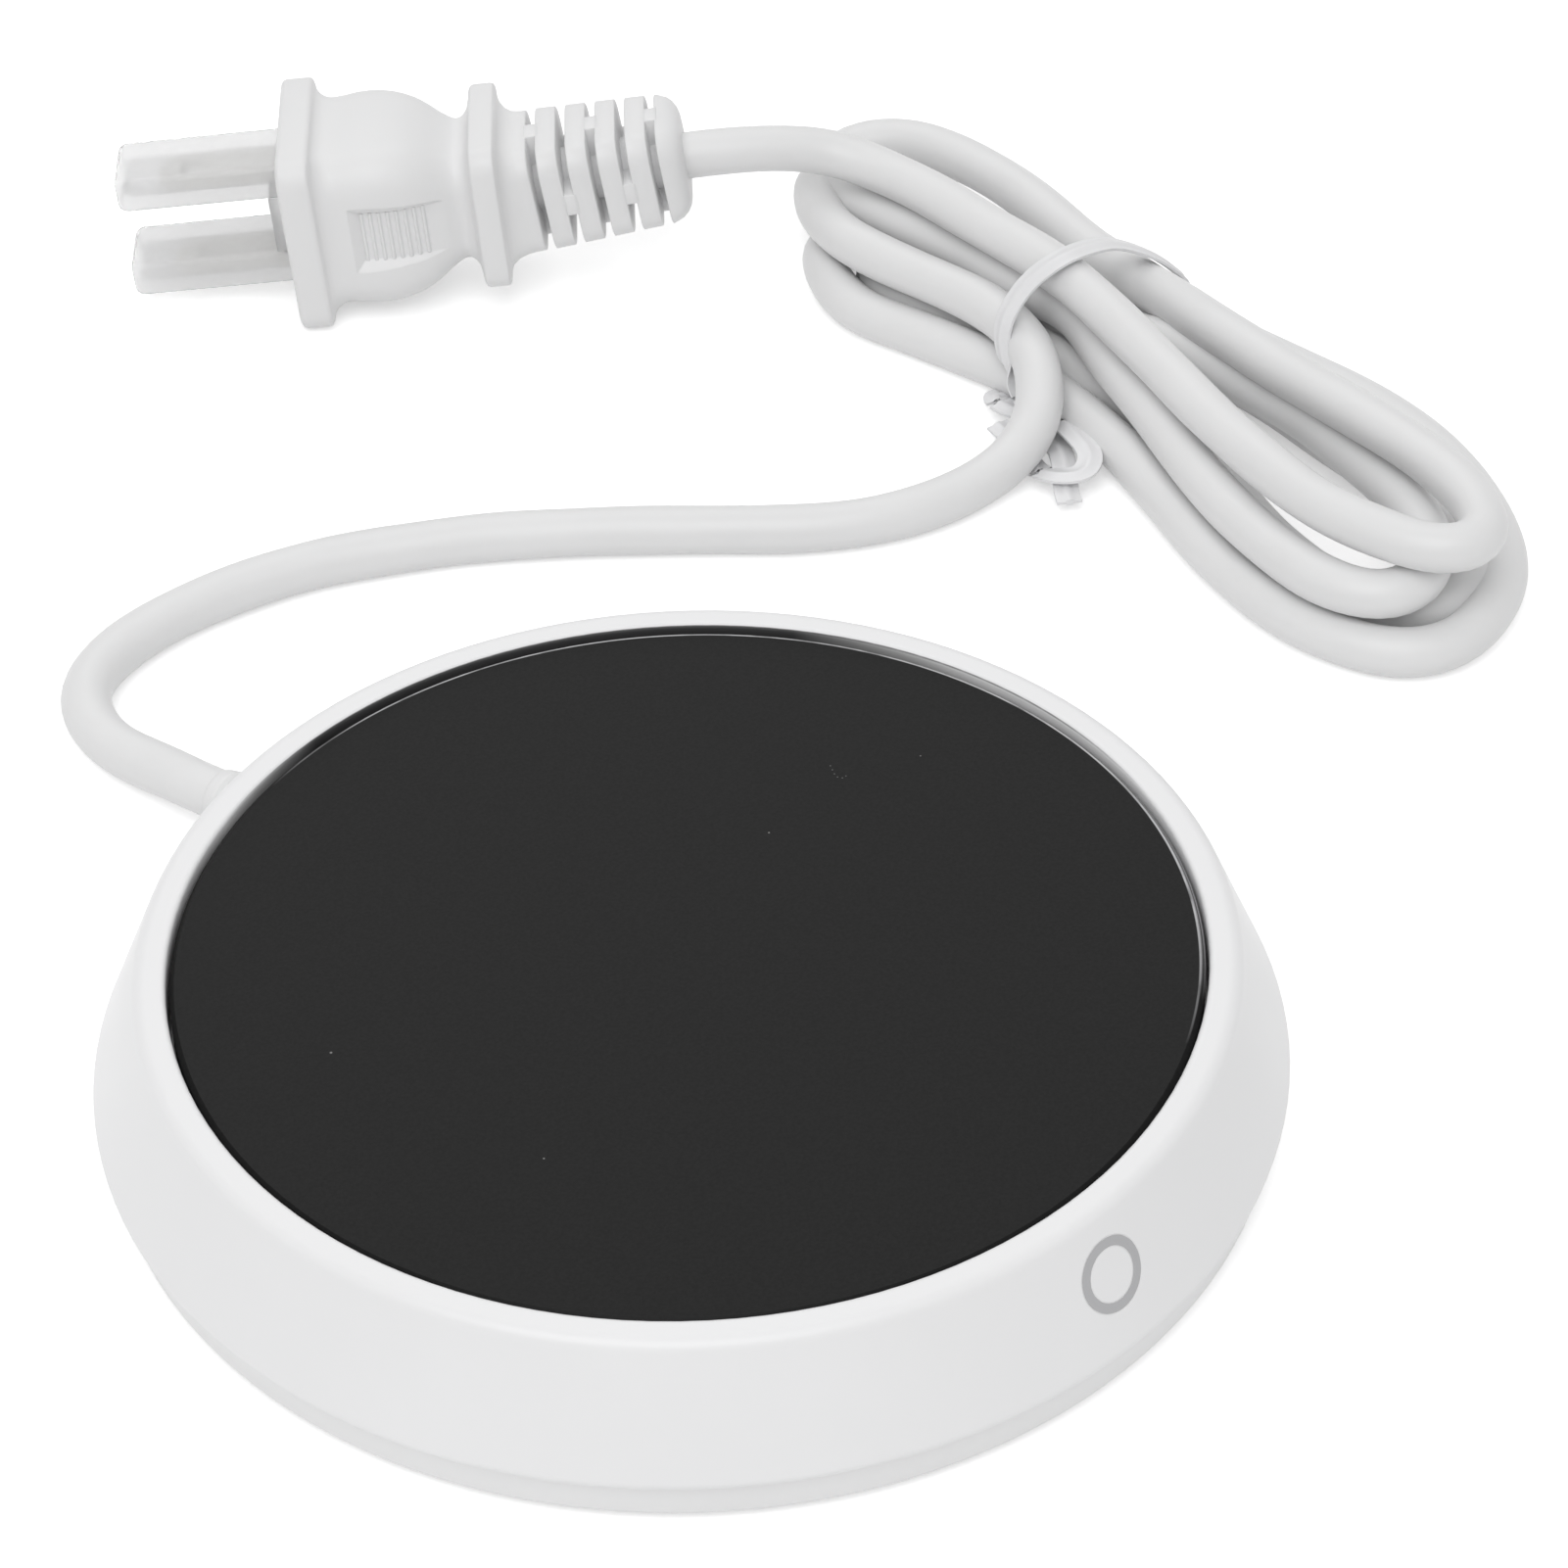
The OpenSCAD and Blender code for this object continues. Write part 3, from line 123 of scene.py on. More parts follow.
# Frame of the plug: x up, y towards the camera, z from its front face to the cord
PLUG_FRAME = (
    Matrix.Translation((84.7, 138.5, 12.34))
    @ Matrix.Rotation(math.radians(-48.6), 4, "Z")
    @ Matrix.Rotation(math.radians(-4.1), 4, "Y")
    @ Matrix(((0, 0, 1, 0), (0, -1, 0, 0), (1, 0, 0, 0), (0, 0, 0, 1)))
)
# Behind the rear flange the strain relief is bent up about this place on the axis
BEND_AT = 31
BEND = math.radians(4.5)


def bend(share=1.0):
    """The strain relief's bend, or a share of it."""
    at = Vector((0, 0, BEND_AT))
    return Matrix.Translation(at) @ Matrix.Rotation(BEND * share, 4, "Y") @ Matrix.Translation(-at)


LEAD_END = [tuple(PLUG_FRAME @ bend() @ Vector((0, 0, PLUG_L - inside))) for inside in (0, 2)]


# ------------------------------------------------------------------ lines
def lengths_along(points):
    """How far along a polyline each of its points is."""
    return np.concatenate([[0], np.cumsum(np.linalg.norm(np.diff(points, axis=0), axis=1))])


def spaced(points, step):
    """Points a step apart along a polyline."""
    along = lengths_along(points)
    at = np.linspace(0, along[-1], max(2, int(along[-1] / step) + 1))
    return np.stack([np.interp(at, along, points[:, k]) for k in range(3)], axis=1)


def curve_through(points, step=1.5, rounds=6, fine=0.8):
    """A smooth line through points: centripetal Catmull-Rom, then a light smoothing."""
    p = np.array(points, float)
    p = np.vstack([2 * p[0] - p[1], p, 2 * p[-1] - p[-2]])
    line = []
    for i in range(1, len(p) - 2):
        a, b, c, d = p[i - 1 : i + 3]
        ta = math.sqrt(np.linalg.norm(b - a))
        tb = ta + math.sqrt(np.linalg.norm(c - b))
        tc = tb + math.sqrt(np.linalg.norm(d - c))
        count = max(4, int(np.linalg.norm(c - b) / fine))
        for t in np.linspace(ta, tb, count, endpoint=False):
            ab = (ta - t) / ta * a + t / ta * b
            bc = (tb - t) / (tb - ta) * b + (t - ta) / (tb - ta) * c
            cd = (tc - t) / (tc - tb) * c + (t - tb) / (tc - tb) * d
            abc = (tb - t) / tb * ab + t / tb * bc
            bcd = (tc - t) / (tc - ta) * bc + (t - ta) / (tc - ta) * cd
            line.append((tb - t) / (tb - ta) * abc + (t - ta) / (tb - ta) * bcd)
    line.append(p[-2])
    line = spaced(np.array(line), step)
    for _ in range(rounds):
        line[1:-1] = line[1:-1] / 2 + (line[2:] + line[:-2]) / 4
    return line


def tangents(line):
    """Direction of a line at each of its points."""
    t = np.gradient(line, axis=0)
    return t / np.linalg.norm(t, axis=1)[:, None]


# ------------------------------------------------------------------ meshes
def shade(mesh, angle):
    """Smooth, with sharp edges where faces meet at more than this angle."""
    mesh.shade_smooth()
    mesh.set_sharp_from_angle(angle=math.radians(angle))


def piece(name, part, material, body, angle):
    """A mesh given in mm becomes an object in metres that rides on a body."""
    verts, faces = part
    mesh = bpy.data.meshes.new(name)
    mesh.from_pydata([Vector(v) * MM for v in verts], [], faces)
    mesh.validate()
    mesh.update()
    shade(mesh, angle)
    mesh.materials.append(material)
    obj = placed(name, mesh)
    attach(obj, body)
    return obj


def joined(parts):
    """Several (verts, faces) as one."""
    verts, faces = [], []
    for v, f in parts:
        base = len(verts)
        verts += [tuple(p) for p in v]
        faces += [tuple(i + base for i in face) for face in f]
    return verts, faces


def moved(part, matrix):
    """A part in its new place, with its faces turned when the matrix mirrors it."""
    verts, faces = part
    flip = matrix.determinant() < 0
    return [matrix @ Vector(v) for v in verts], [f[::-1] for f in faces] if flip else faces


def shifted(part, x=0, y=0, z=0):
    """A part in its new place, not turned."""
    return moved(part, Matrix.Translation((x, y, z)))


def loft(rings, loop=False):
    """Skin over rings of points that all have the same count, closed by caps or into a loop."""
    n, count = len(rings[0]), len(rings)
    verts = [tuple(p) for ring in rings for p in ring]
    faces = []
    for i in range(count if loop else count - 1):
        j = (i + 1) % count
        for k in range(n):
            m = (k + 1) % n
            faces.append((i * n + k, i * n + m, j * n + m, j * n + k))
    if not loop:
        faces.append(tuple(range(n))[::-1])
        faces.append(tuple((count - 1) * n + k for k in range(n)))
    return verts, faces


def tube(line, radius, count):
    """Skin round a line that never runs straight up; radius(i, angle) holds at its point i."""
    t = tangents(line)
    side = np.cross(t, (0, 0, 1.0))
    side /= np.linalg.norm(side, axis=1)[:, None]
    up = np.cross(side, t)
    turns = [2 * math.pi * k / count for k in range(count)]
    return loft([
        [p + radius(i, a) * (math.cos(a) * s + math.sin(a) * u) for a in turns]
        for i, (p, s, u) in enumerate(zip(line, side, up))
    ])


def round_rect(a, b, r, z, steps=7):
    """Outline of an a by b rectangle with round corners, anticlockwise, at a height."""
    r = min(r, a / 2 - 0.01, b / 2 - 0.01)
    out = []
    for q, (sx, sy) in enumerate(((1, 1), (-1, 1), (-1, -1), (1, -1))):
        for i in range(steps + 1):
            t = math.radians(90 * q + 90 * i / steps)
            x = sx * (a / 2 - r) + r * math.cos(t)
            out.append((x, sy * (b / 2 - r) + r * math.sin(t), z))
    return out


def block(a, b, z0, z1, r=0.6, e=0.3, steps=4):
    """Block with round corners and round edges, centred on x and y."""
    rings = []
    for i in range(steps + 1):
        t = math.radians(90 * i / steps)
        inset, rise = e * (1 - math.sin(t)), e * (1 - math.cos(t))
        rings.append(round_rect(a - 2 * inset, b - 2 * inset, r - inset / 2, z0 + rise, steps))
    top = [[(x, y, z0 + z1 - z) for x, y, z in ring] for ring in rings[::-1]]
    return loft(rings + top)


def rod(r, z0, z1, count=32):
    """A cylinder round the z axis."""
    turns = [2 * math.pi * k / count for k in range(count)]
    return loft([[(r * math.cos(a), r * math.sin(a), z) for a in turns] for z in (z0, z1)])


# ------------------------------------------------------------------ materials
class Net:
    """Node tree of a material or world. Inputs take a number, a colour or a socket."""

    def __init__(self, owner):
        owner.use_nodes = True
        self.nodes, self.links = owner.node_tree.nodes, owner.node_tree.links

    def feed(self, node, inputs):
        for name, value in inputs.items():
            if isinstance(value, bpy.types.NodeSocket):
                self.links.new(value, node.inputs[name])
            else:
                node.inputs[name].default_value = value

    def add(self, kind, inputs=None, **settings):
        node = self.nodes.new("ShaderNode" + kind)
        for name, value in settings.items():
            setattr(node, name, value)
        self.feed(node, inputs or {})
        return node

    def here(self):
        """The place on the piece."""
        return self.add("TexCoord").outputs["Object"]

    def noise(self, at, scale, detail, roughness=0.5):
        inputs = {"Vector": at, "Scale": scale, "Detail": detail, "Roughness": roughness}
        return self.add("TexNoise", inputs).outputs["Fac"]

    def ramp(self, value, low, high, to=(0, 1)):
        """Runs from one value to the other between two places."""
        inputs = {
            "Value": value, "From Min": low, "From Max": high, "To Min": to[0], "To Max": to[1],
        }
        return self.add("MapRange", inputs).outputs["Result"]

    def mix(self, share, a, b, how="MIX"):
        inputs = {"Factor": share, "A": a, "B": b}
        return self.add("Mix", inputs, data_type="RGBA", blend_type=how).outputs["Result"]

    def chain(self, operation, first, *others):
        """The same operation on one value after another."""
        for other in others:
            first = self.add("Math", {0: first, 1: other}, operation=operation).outputs["Value"]
        return first

    def times(self, *values):
        return self.chain("MULTIPLY", *values)

    def vector(self, operation, inputs, output="Value"):
        return self.add("VectorMath", inputs, operation=operation).outputs[output]

    def bump(self, height, strength, distance_mm, **more):
        inputs = {"Height": height, "Strength": strength, "Distance": distance_mm * MM, **more}
        return self.add("Bump", inputs).outputs["Normal"]

    def around(self, here):
        """Direction and reach from the z axis, and height."""
        split = self.add("SeparateXYZ", {"Vector": here}).outputs
        flat = self.add("CombineXYZ", {"X": split["X"], "Y": split["Y"]}).outputs["Vector"]
        way = self.vector("NORMALIZE", {0: flat}, "Vector")
        return way, self.vector("LENGTH", {0: flat}), split["Z"]

    def towards(self, way, side, low, high):
        """Rises from 0 to 1 as a direction comes to agree with a side."""
        return self.ramp(self.vector("DOT_PRODUCT", {0: way, 1: (*side, 0)}), low, high)

    def shown(self):
        """1 on the rays that show the background: from the camera, off gloss and through glass."""
        rays = self.add("LightPath").outputs
        return self.chain(
            "MAXIMUM", rays["Is Camera Ray"], rays["Is Glossy Ray"], rays["Is Transmission Ray"]
        )


def shader(name):
    mat = bpy.data.materials.new(name)
    net = Net(mat)
    return mat, net, net.nodes["Principled BSDF"]


def grey(level, blue=None):
    """A neutral colour, or one with a slightly different blue."""
    return (level, level, blue or level)


def finish(
    name,
    color,
    rough=0.45,
    metal=0.0,
    grain=0.12,
    grain_mm=0.35,
    mottle=0.03,
    wear=0.04,
    wear_color=None,
    coat=0.0,
    soft=0.0,
    edge_mm=0.25,
    glassy=0.0,
    brushed=0.0,
):
    """A procedural surface: fine grain, slow mottling, scuffs and softened edges."""
    mat, net, bsdf = shader(name)
    here = net.here()
    stretch = net.add("Mapping", {"Vector": here, "Scale": (1, 1 + 30 * brushed, 1)})
    fine = net.noise(stretch.outputs["Vector"], 1 / (grain_mm * MM), 3)
    slow = net.noise(here, 70, 4)
    scuff = net.noise(here, 420, 6, 0.7)

    tone = net.ramp(slow, 0.3, 0.7, (1 - mottle, 1 + mottle))
    base = net.mix(1, (*color, 1), tone, "MULTIPLY")
    worn = net.ramp(scuff, 0.6, 0.75, (0, wear))
    used = net.mix(worn, base, (*(wear_color or [c * 0.8 for c in color]), 1))
    gloss = net.ramp(slow, 0.25, 0.75, (max(rough - 0.05, 0.02), min(rough + 0.07, 1)))
    edge = net.add("Bevel", {"Radius": edge_mm * MM}, samples=4).outputs["Normal"]
    net.feed(bsdf, {
        "Base Color": used,
        "Roughness": gloss,
        "Normal": net.bump(fine, grain, 0.05, Normal=edge),
        "Metallic": metal,
        "Coat Weight": coat,
        "Transmission Weight": glassy,
    })
    if soft:
        net.feed(bsdf, {
            "Subsurface Weight": soft,
            "Subsurface Radius": (1, 0.95, 0.9),
            "Subsurface Scale": 0.8 * MM,
        })
    return mat


SOFT_PVC = {
    "rough": 0.46, "grain": 0.16, "grain_mm": 0.3, "mottle": 0.012, "wear": 0.03, "soft": 0.08,
}
MAT = {
    "shell": finish(
        "shell_white_abs", grey(0.8, 0.806), 0.36,
        grain=0.05, mottle=0.008, wear=0.02, edge_mm=0.4,
    ),
    "pan": finish(
        "pan_white_abs", grey(0.83, 0.833), 0.5,
        grain=0.1, mottle=0.01, wear=0.03, edge_mm=0.3,
    ),
    "foot": finish(
        "foot_rubber_grey", grey(0.03, 0.032), 0.75,
        grain=0.3, mottle=0.12, wear=0.3, wear_color=grey(0.2),
    ),
    "zinc": finish(
        "zinc_steel", grey(0.6, 0.62), 0.34, 1,
        grain=0.15, grain_mm=0.2, mottle=0.08, wear=0.3, wear_color=grey(0.3),
    ),
    "key": finish(
        "key_ring_grey", grey(0.43, 0.44), 0.5, grain=0.06, mottle=0.02, wear=0.06, edge_mm=0.1,
    ),
    "copper": finish(
        "copper_foil", (0.75, 0.35, 0.2), 0.35, 1,
        grain=0.2, mottle=0.12, wear=0.3, wear_color=(0.3, 0.2, 0.12),
    ),
    "board": finish(
        "board_green_mask", (0.02, 0.14, 0.05), 0.35,
        grain=0.3, grain_mm=0.8, mottle=0.1, wear=0.1,
    ),
    "led": finish("led_lens", grey(0.85, 0.7), 0.15, grain=0.02, glassy=0.6),
    "black": finish(
        "black_moulded", grey(0.02, 0.022), 0.45,
        grain=0.2, mottle=0.08, wear=0.15, wear_color=grey(0.09),
    ),
    "red_box": finish("capacitor_red", (0.42, 0.05, 0.03), 0.3, grain=0.1, mottle=0.05),
    "terminal": finish("terminal_green", (0.02, 0.2, 0.07), 0.45, grain=0.15, mottle=0.05),
    "ceramic": finish(
        "fuse_ceramic", (0.75, 0.73, 0.66), 0.4, grain=0.15, mottle=0.06, wear=0.1,
    ),
    "plunger": finish("plunger_red", (0.45, 0.02, 0.02), 0.4, grain=0.1, mottle=0.04),
    "cord": finish(
        "cord_white_pvc", grey(0.75, 0.752), 0.42,
        grain=0.1, grain_mm=0.5, mottle=0.015, wear=0.03, soft=0.12, edge_mm=0.2,
    ),
    "plug": finish("plug_white_pvc", grey(0.77, 0.773), edge_mm=0.35, **SOFT_PVC),
    "relief": finish("relief_white_pvc", grey(0.77, 0.773), edge_mm=0.12, **SOFT_PVC),
    "nylon": finish("clamp_nylon", (0.68, 0.67, 0.62), 0.5, grain=0.15, mottle=0.04),
    "wire": finish("wire_black", grey(0.02), 0.4, grain=0.1, mottle=0.05),
    "sleeve": finish(
        "sleeve_glass_fibre", (0.7, 0.69, 0.62), 0.8, grain=0.7, grain_mm=0.25, mottle=0.08,
    ),
    "spring": finish(
        "spring_wire", grey(0.55, 0.57), 0.28, 1,
        grain=0.08, mottle=0.06, wear=0.2, wear_color=(0.25, 0.24, 0.22),
    ),
    "carrier": finish(
        "carrier_black_pps", grey(0.04, 0.043), 0.55,
        grain=0.25, mottle=0.08, wear=0.1, wear_color=grey(0.1),
    ),
    "alu": finish(
        "rolled_aluminium", (0.75, 0.76, 0.77), 0.32, 1,
        grain=0.2, mottle=0.05, brushed=1, wear=0.2, wear_color=grey(0.45),
    ),
    "mica": finish(
        "mica_sheet", (0.4, 0.3, 0.15), 0.35,
        grain=0.35, grain_mm=1.2, mottle=0.25, wear=0.2, coat=0.3,
    ),
    "felt": finish(
        "ceramic_felt", (0.75, 0.73, 0.66), 0.95, grain=0.9, grain_mm=0.6, mottle=0.1,
    ),
    "sheet_steel": finish(
        "galvanised_steel", (0.55, 0.56, 0.57), 0.4, 1,
        grain=0.2, grain_mm=3, mottle=0.15, wear=0.3, wear_color=grey(0.3),
    ),
    "tie": finish(
        "tie_white_film", grey(0.78, 0.79), 0.38,
        grain=0.15, grain_mm=0.6, mottle=0.03, wear=0.06, soft=0.05, edge_mm=0.12,
    ),
    "blade": finish(
        "blade_nickel_brass", (0.8, 0.79, 0.76), 0.26, 1,
        grain=0.12, mottle=0.06, brushed=0.5, wear=0.35, wear_color=(0.5, 0.42, 0.25),
    ),
}

# Sides of the opening, as directions from its middle, where the painted highlights and the painted
# shade lie
GLINT_SIDE, FAR_SIDE, RIGHT_SIDE = (0.958, 0.26), (0.762, 0.648), (0.91, -0.4)
# Tops of the rim and the glass, and distances from the middle, in mm, that bound the painted
# highlight, the painted reflection on the edge, the chamfer's roughness and the painted shade on
# the wall
RIM_TOP = extent("upper_shell", 2)[1]
GLASS_TOP = extent("glass_plate", 2)[1]
GLINT_IN, GLINT_OUT = (52.62, 52.7), (52.92, 52.86)
POLISHED_FROM, CHAMFER_FROM = (52.78, 52.84), (52.8, 52.9)
PAINTED_SHADE_WITHIN = (53.86, 53.78)
# Dust and a short hairline on the glass: x, y and radius, in mm
SPECKS = [
    (19.5, 5.2, 0.13), (-34.3, 18.1, 0.17), (-32.5, -9, 0.13), (39.5, 0.5, 0.1),
    (32.2, 7.1, 0.08), (31.8, 6.5, 0.08), (31.4, 5.9, 0.08), (31.2, 5.3, 0.08),
    (31.4, 4.8, 0.08), (31.9, 4.7, 0.07),
]


def glass_material():
    """Black enamelled glass: satin top with a little dust, and a painted highlight on its polished
    edge.
    """
    mat, net, bsdf = shader("black_enamel_glass")
    here = net.here()
    way, reach, _ = net.around(here)
    grain = net.noise(here, 2600, 4)

    def between(places, to=(0, 1)):
        return net.ramp(reach, places[0] * MM, places[1] * MM, to)

    # Painted highlight: a line of light painted on the edge, broken up where it fades out
    broken = net.ramp(net.noise(here, 240, 3), 0.3, 0.55, (0.35, 1))
    side = net.towards(way, GLINT_SIDE, 0.12, 0.5)
    painted_glint = net.times(side, broken, between(GLINT_IN), between(GLINT_OUT))
    # Painted reflection: on the right the whole polished edge is painted light, in streaks
    streaks = net.add("TexNoise", {"W": reach, "Scale": 6000}, noise_dimensions="1D")
    painted_streak_light = net.ramp(streaks.outputs["Fac"], 0.35, 0.65, (0.15, 0.9))
    edge = net.times(net.towards(way, RIGHT_SIDE, 0.8, 0.93), painted_streak_light, between(POLISHED_FROM))

    top = net.ramp(grain, 0.3, 0.7, (0.0085, 0.0125))
    # The painted highlight and painted reflection lighten the black top to grey
    for share in (painted_glint, edge):
        top = net.mix(share, top, (0.5, 0.5, 0.51, 1))
    for x, y, size in SPECKS:
        away = net.vector("DISTANCE", {0: here, 1: (x * MM, y * MM, GLASS_TOP * MM)})
        top = net.mix(net.ramp(away, size * MM, size * 0.5 * MM), top, (*grey(0.22), 1))
    net.feed(bsdf, {
        "Base Color": top,
        "Roughness": between(CHAMFER_FROM, (0.5, 0.38)),
        "Normal": net.bump(grain, 0.12, 0.03),
        "Specular IOR Level": 0.1,
    })
    return mat


def paint_shade_in_opening(mat):
    """Painted shade: on the far side the wall round the glass is painted black, blending to a
    painted grey sheen towards the right.
    """
    net = Net(mat)
    bsdf = net.nodes["Principled BSDF"]
    way, reach, height = net.around(net.here())

    def below_rim(start, end):
        return net.ramp(height, (RIM_TOP - start) * MM, (RIM_TOP - end) * MM)

    # Painted sheen: share of grey light painted on the right side, just below the rim
    right = net.times(net.towards(way, RIGHT_SIDE, 0.62, 0.88), below_rim(0.2, 0.35))
    painted_shade_and_sheen = net.mix(right, (0.055, 0.055, 0.056, 1), (*grey(0.72), 1))
    # Painted shade: black on the wall inside the opening, below the rim, on the far side
    inside = net.ramp(reach, PAINTED_SHADE_WITHIN[0] * MM, PAINTED_SHADE_WITHIN[1] * MM)
    painted_shade_mask = net.times(inside, below_rim(4, 3.8), net.towards(way, FAR_SIDE, 0.4, 0.66))
    shell = bsdf.inputs["Base Color"].links[0].from_socket
    net.feed(bsdf, {"Base Color": net.mix(painted_shade_mask, shell, painted_shade_and_sheen)})


def clear_material():
    """Soft milky plastic of the blade cover, a little wavy, with faint drag marks."""
    mat, net, bsdf = shader("cover_milky_pe")
    here = net.here()
    haze, drag = net.noise(here, 260, 3), net.noise(here, 900, 2)
    net.feed(bsdf, {
        "Base Color": net.mix(drag, (*grey(0.8, 0.802), 1), (*grey(0.86, 0.862), 1)),
        "Roughness": net.ramp(haze, 0, 1, (0.55, 0.7)),
        "Normal": net.bump(haze, 0.08, 0.03),
        "Transmission Weight": 0.66,
        "IOR": 1.08,
        "Specular IOR Level": 0.3,
    })
    return mat


MAT["glass"] = glass_material()
# Paints shade and sheen into the wall of the shell's opening
paint_shade_in_opening(MAT["shell"])
MAT["clear"] = clear_material()

NODE_LOOKS = {
    "base_pan": "pan", "upper_shell": "shell", "rubber_feet": "foot", "cover_screws": "zinc",
    "touch_ring": "key", "touch_electrode": "copper", "touch_spring": "spring",
    "touch_board": "board", "indicator_led": "led", "control_board": "board",
    "board_screws": "zinc", "terminal_block": "terminal", "film_capacitor": "red_box",
    "smoothing_capacitor": "black", "mains_fuse": "ceramic", "triac": "black",
    "controller_chip": "black", "weight_switch": "black", "cord_clamp": "nylon",
    "cord_clamp_screws": "zinc", "supply_leads": "wire", "heater_leads": "sleeve",
    "plate_springs": "spring", "glass_plate": "glass", "plate_carrier": "carrier",
    "heat_spreader": "alu", "heater_disc": "mica", "insulation_pad": "felt",
    "clamp_plate": "sheet_steel", "clamp_plate_screws": "zinc", "temperature_sensor": "black",
    "thermal_fuse": "ceramic", "fuse_strap": "sheet_steel", "switch_plunger": "plunger",
    "plug_blades": "blade",
}
for node, look in NODE_LOOKS.items():
    NODES[node].data.materials.clear()
    NODES[node].data.materials.append(MAT[look])


# ------------------------------------------------------------------ under the floating plate
def giving(node):
    """A copy of a CAD piece in its place, standing in for the hidden original."""
    obj = placed(node + "_giving", NODES[node].data.copy())
    obj.matrix_world = NODES[node].matrix_world
    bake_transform(obj)
    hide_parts(node)


giving("plate_springs")
giving("heater_leads")


# ------------------------------------------------------------------ cord
def make_cord(line, along):
    """The jacket bulges a little over its two twisted cores."""

    def radius(i, angle):
        turned = 2 * math.pi * along[i] / CORD_TWIST
        return CORD_R * (CORD_MEAN + CORD_BULGE * math.cos(2 * (angle - turned)))

    return tube(line, radius, 24)


cord_line = curve_through(TAIL + HANK + LEAD_END)
cord_along = lengths_along(cord_line)
cord = piece(
    "mains_cord", make_cord(cord_line, cord_along), MAT["cord"], "housing", 60
)
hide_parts("cord_tail", "cord_hank", "cord_lead")

# ------------------------------------------------------------------ strain relief at the housing
BUSH_BACK, BUSH_FRONT = extent("cord_bush", 1)
SLEEVE_ROUTE = [(0, BUSH_BACK + 1, CORD_EXIT_Z), *TAIL[:3], (-0.5, BUSH_FRONT - 0.6, 5.1)]
# Distance along y and radius: neck, step outside the wall, two shallow grooves, soft end
SLEEVE = [
    (BUSH_BACK, 4.1), (61.9, 4.1), (62.4, 3.95), (62.7, 3.85), (63.2, 3.7), (63.6, 3.62),
    (65, 3.58), (65.15, 3.46), (65.55, 3.46), (65.7, 3.55), (66.6, 3.48), (66.75, 3.36),
    (67.1, 3.36), (67.25, 3.42), (68.3, 3.28), (68.7, 3.1),
]


FLANGE_R, FLANGE_LOW, FLANGE_HIGH = 6, -4.2, 4.3
# Place along y and share of its size: a 1.6 mm flange with its two edges broken
FLANGE = [(0, 0.97), (0.15, 1), (1.45, 1), (1.6, 0.97)]


def round_flange(count=48):
    """A disc along y with flats below and above."""
    disc = []
    for k in range(count):
        a = 2 * math.pi * k / count
        z = FLANGE_R * math.sin(a)
        disc.append((FLANGE_R * math.cos(a), min(max(z, FLANGE_LOW), FLANGE_HIGH)))
    return loft([[(x * s, y, z * s) for x, z in disc] for y, s in FLANGE])


def make_bush():
    """Flange and neck in the wall's notch, then a soft sleeve that follows the cord down."""
    line = curve_through(SLEEVE_ROUTE, step=0.12, rounds=2)
    radii = np.interp(line[:, 1], *zip(*SLEEVE))
    flange = shifted(round_flange(), y=BUSH_BACK, z=CORD_EXIT_Z)
    return joined([flange, tube(line, lambda i, _: radii[i], 40)])


def make_stub():
    """The cord between its clamp and the sleeve."""
    back = extent("cord_stub", 1)[0]
    line = np.array([(0, y, CORD_EXIT_Z) for y in np.linspace(back, TAIL[0][1], 12)])
    return tube(line, lambda *_: CORD_R, 24)


bush = piece("cord_sleeve", make_bush(), MAT["cord"], "housing", 50)
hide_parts("cord_bush")
stub = piece("cord_inside", make_stub(), MAT["cord"], "housing", 60)
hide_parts("cord_stub")

# ------------------------------------------------------------------ twist tie
TIE_TIP_A = [
    (113.5, 46.7, 1.6), (112.5, 43.2, 1.2), (110.8, 40, 0.9), (108.6, 36.5, 1.8),
    (107.9, 33.1, 3), (109.8, 30.8, 3.3), (112.8, 31.8, 3.7), (114.8, 35.4, 4),
    (116.6, 39.8, 3.4), (117.2, 43.5, 2.2), (116.6, 47.5, 2), (117.6, 50.3, 1.8),
]
TIE_LOOP = [
    (120.3, 49.8, 0.9), (124, 48.6, 0.5), (130, 48.3, 0.45), (138, 47, 0.45), (145, 45.3, 0.6),
    (148.3, 44.3, 2.6), (148, 43.6, 6), (144.8, 43, 9.7), (141.9, 43.7, 12.7),
    (138.4, 44.7, 15.4), (134.8, 45.7, 17.5), (130.9, 46.5, 18.5), (126.9, 47.4, 18.7),
    (123.6, 49.2, 16.7), (121.2, 50.1, 14.3), (119.5, 50.3, 12), (118.7, 50, 9.8),
    (118.3, 49.2, 7.8), (118, 47.6, 5.8),
]
TIE_TIP_B = [
    (117.4, 45.4, 3.9), (116, 42.5, 2.6), (114.6, 39.5, 1.9), (113.2, 36.8, 2.2),
    (110.5, 34, 2.3), (107.3, 31.4, 2), (105.7, 29.6, 1.8),
]
TIE_ACROSS = (0.33, 0.94, 0.0)  # the way its width lies on the hank
TIE_TURN_X, TIE_TURN_RUN, TIE_TURN_Z = 118, 4, 6  # where it turns flat to the table
TIE_HALF_W, TIE_CORE, TIE_SKIN = 1.55, 0.42, 0.17
TIE_TOP = [
    (-TIE_HALF_W, TIE_SKIN), (-0.62, TIE_SKIN), (-0.3, TIE_CORE),
    (0.3, TIE_CORE), (0.62, TIE_SKIN), (TIE_HALF_W, TIE_SKIN),
]


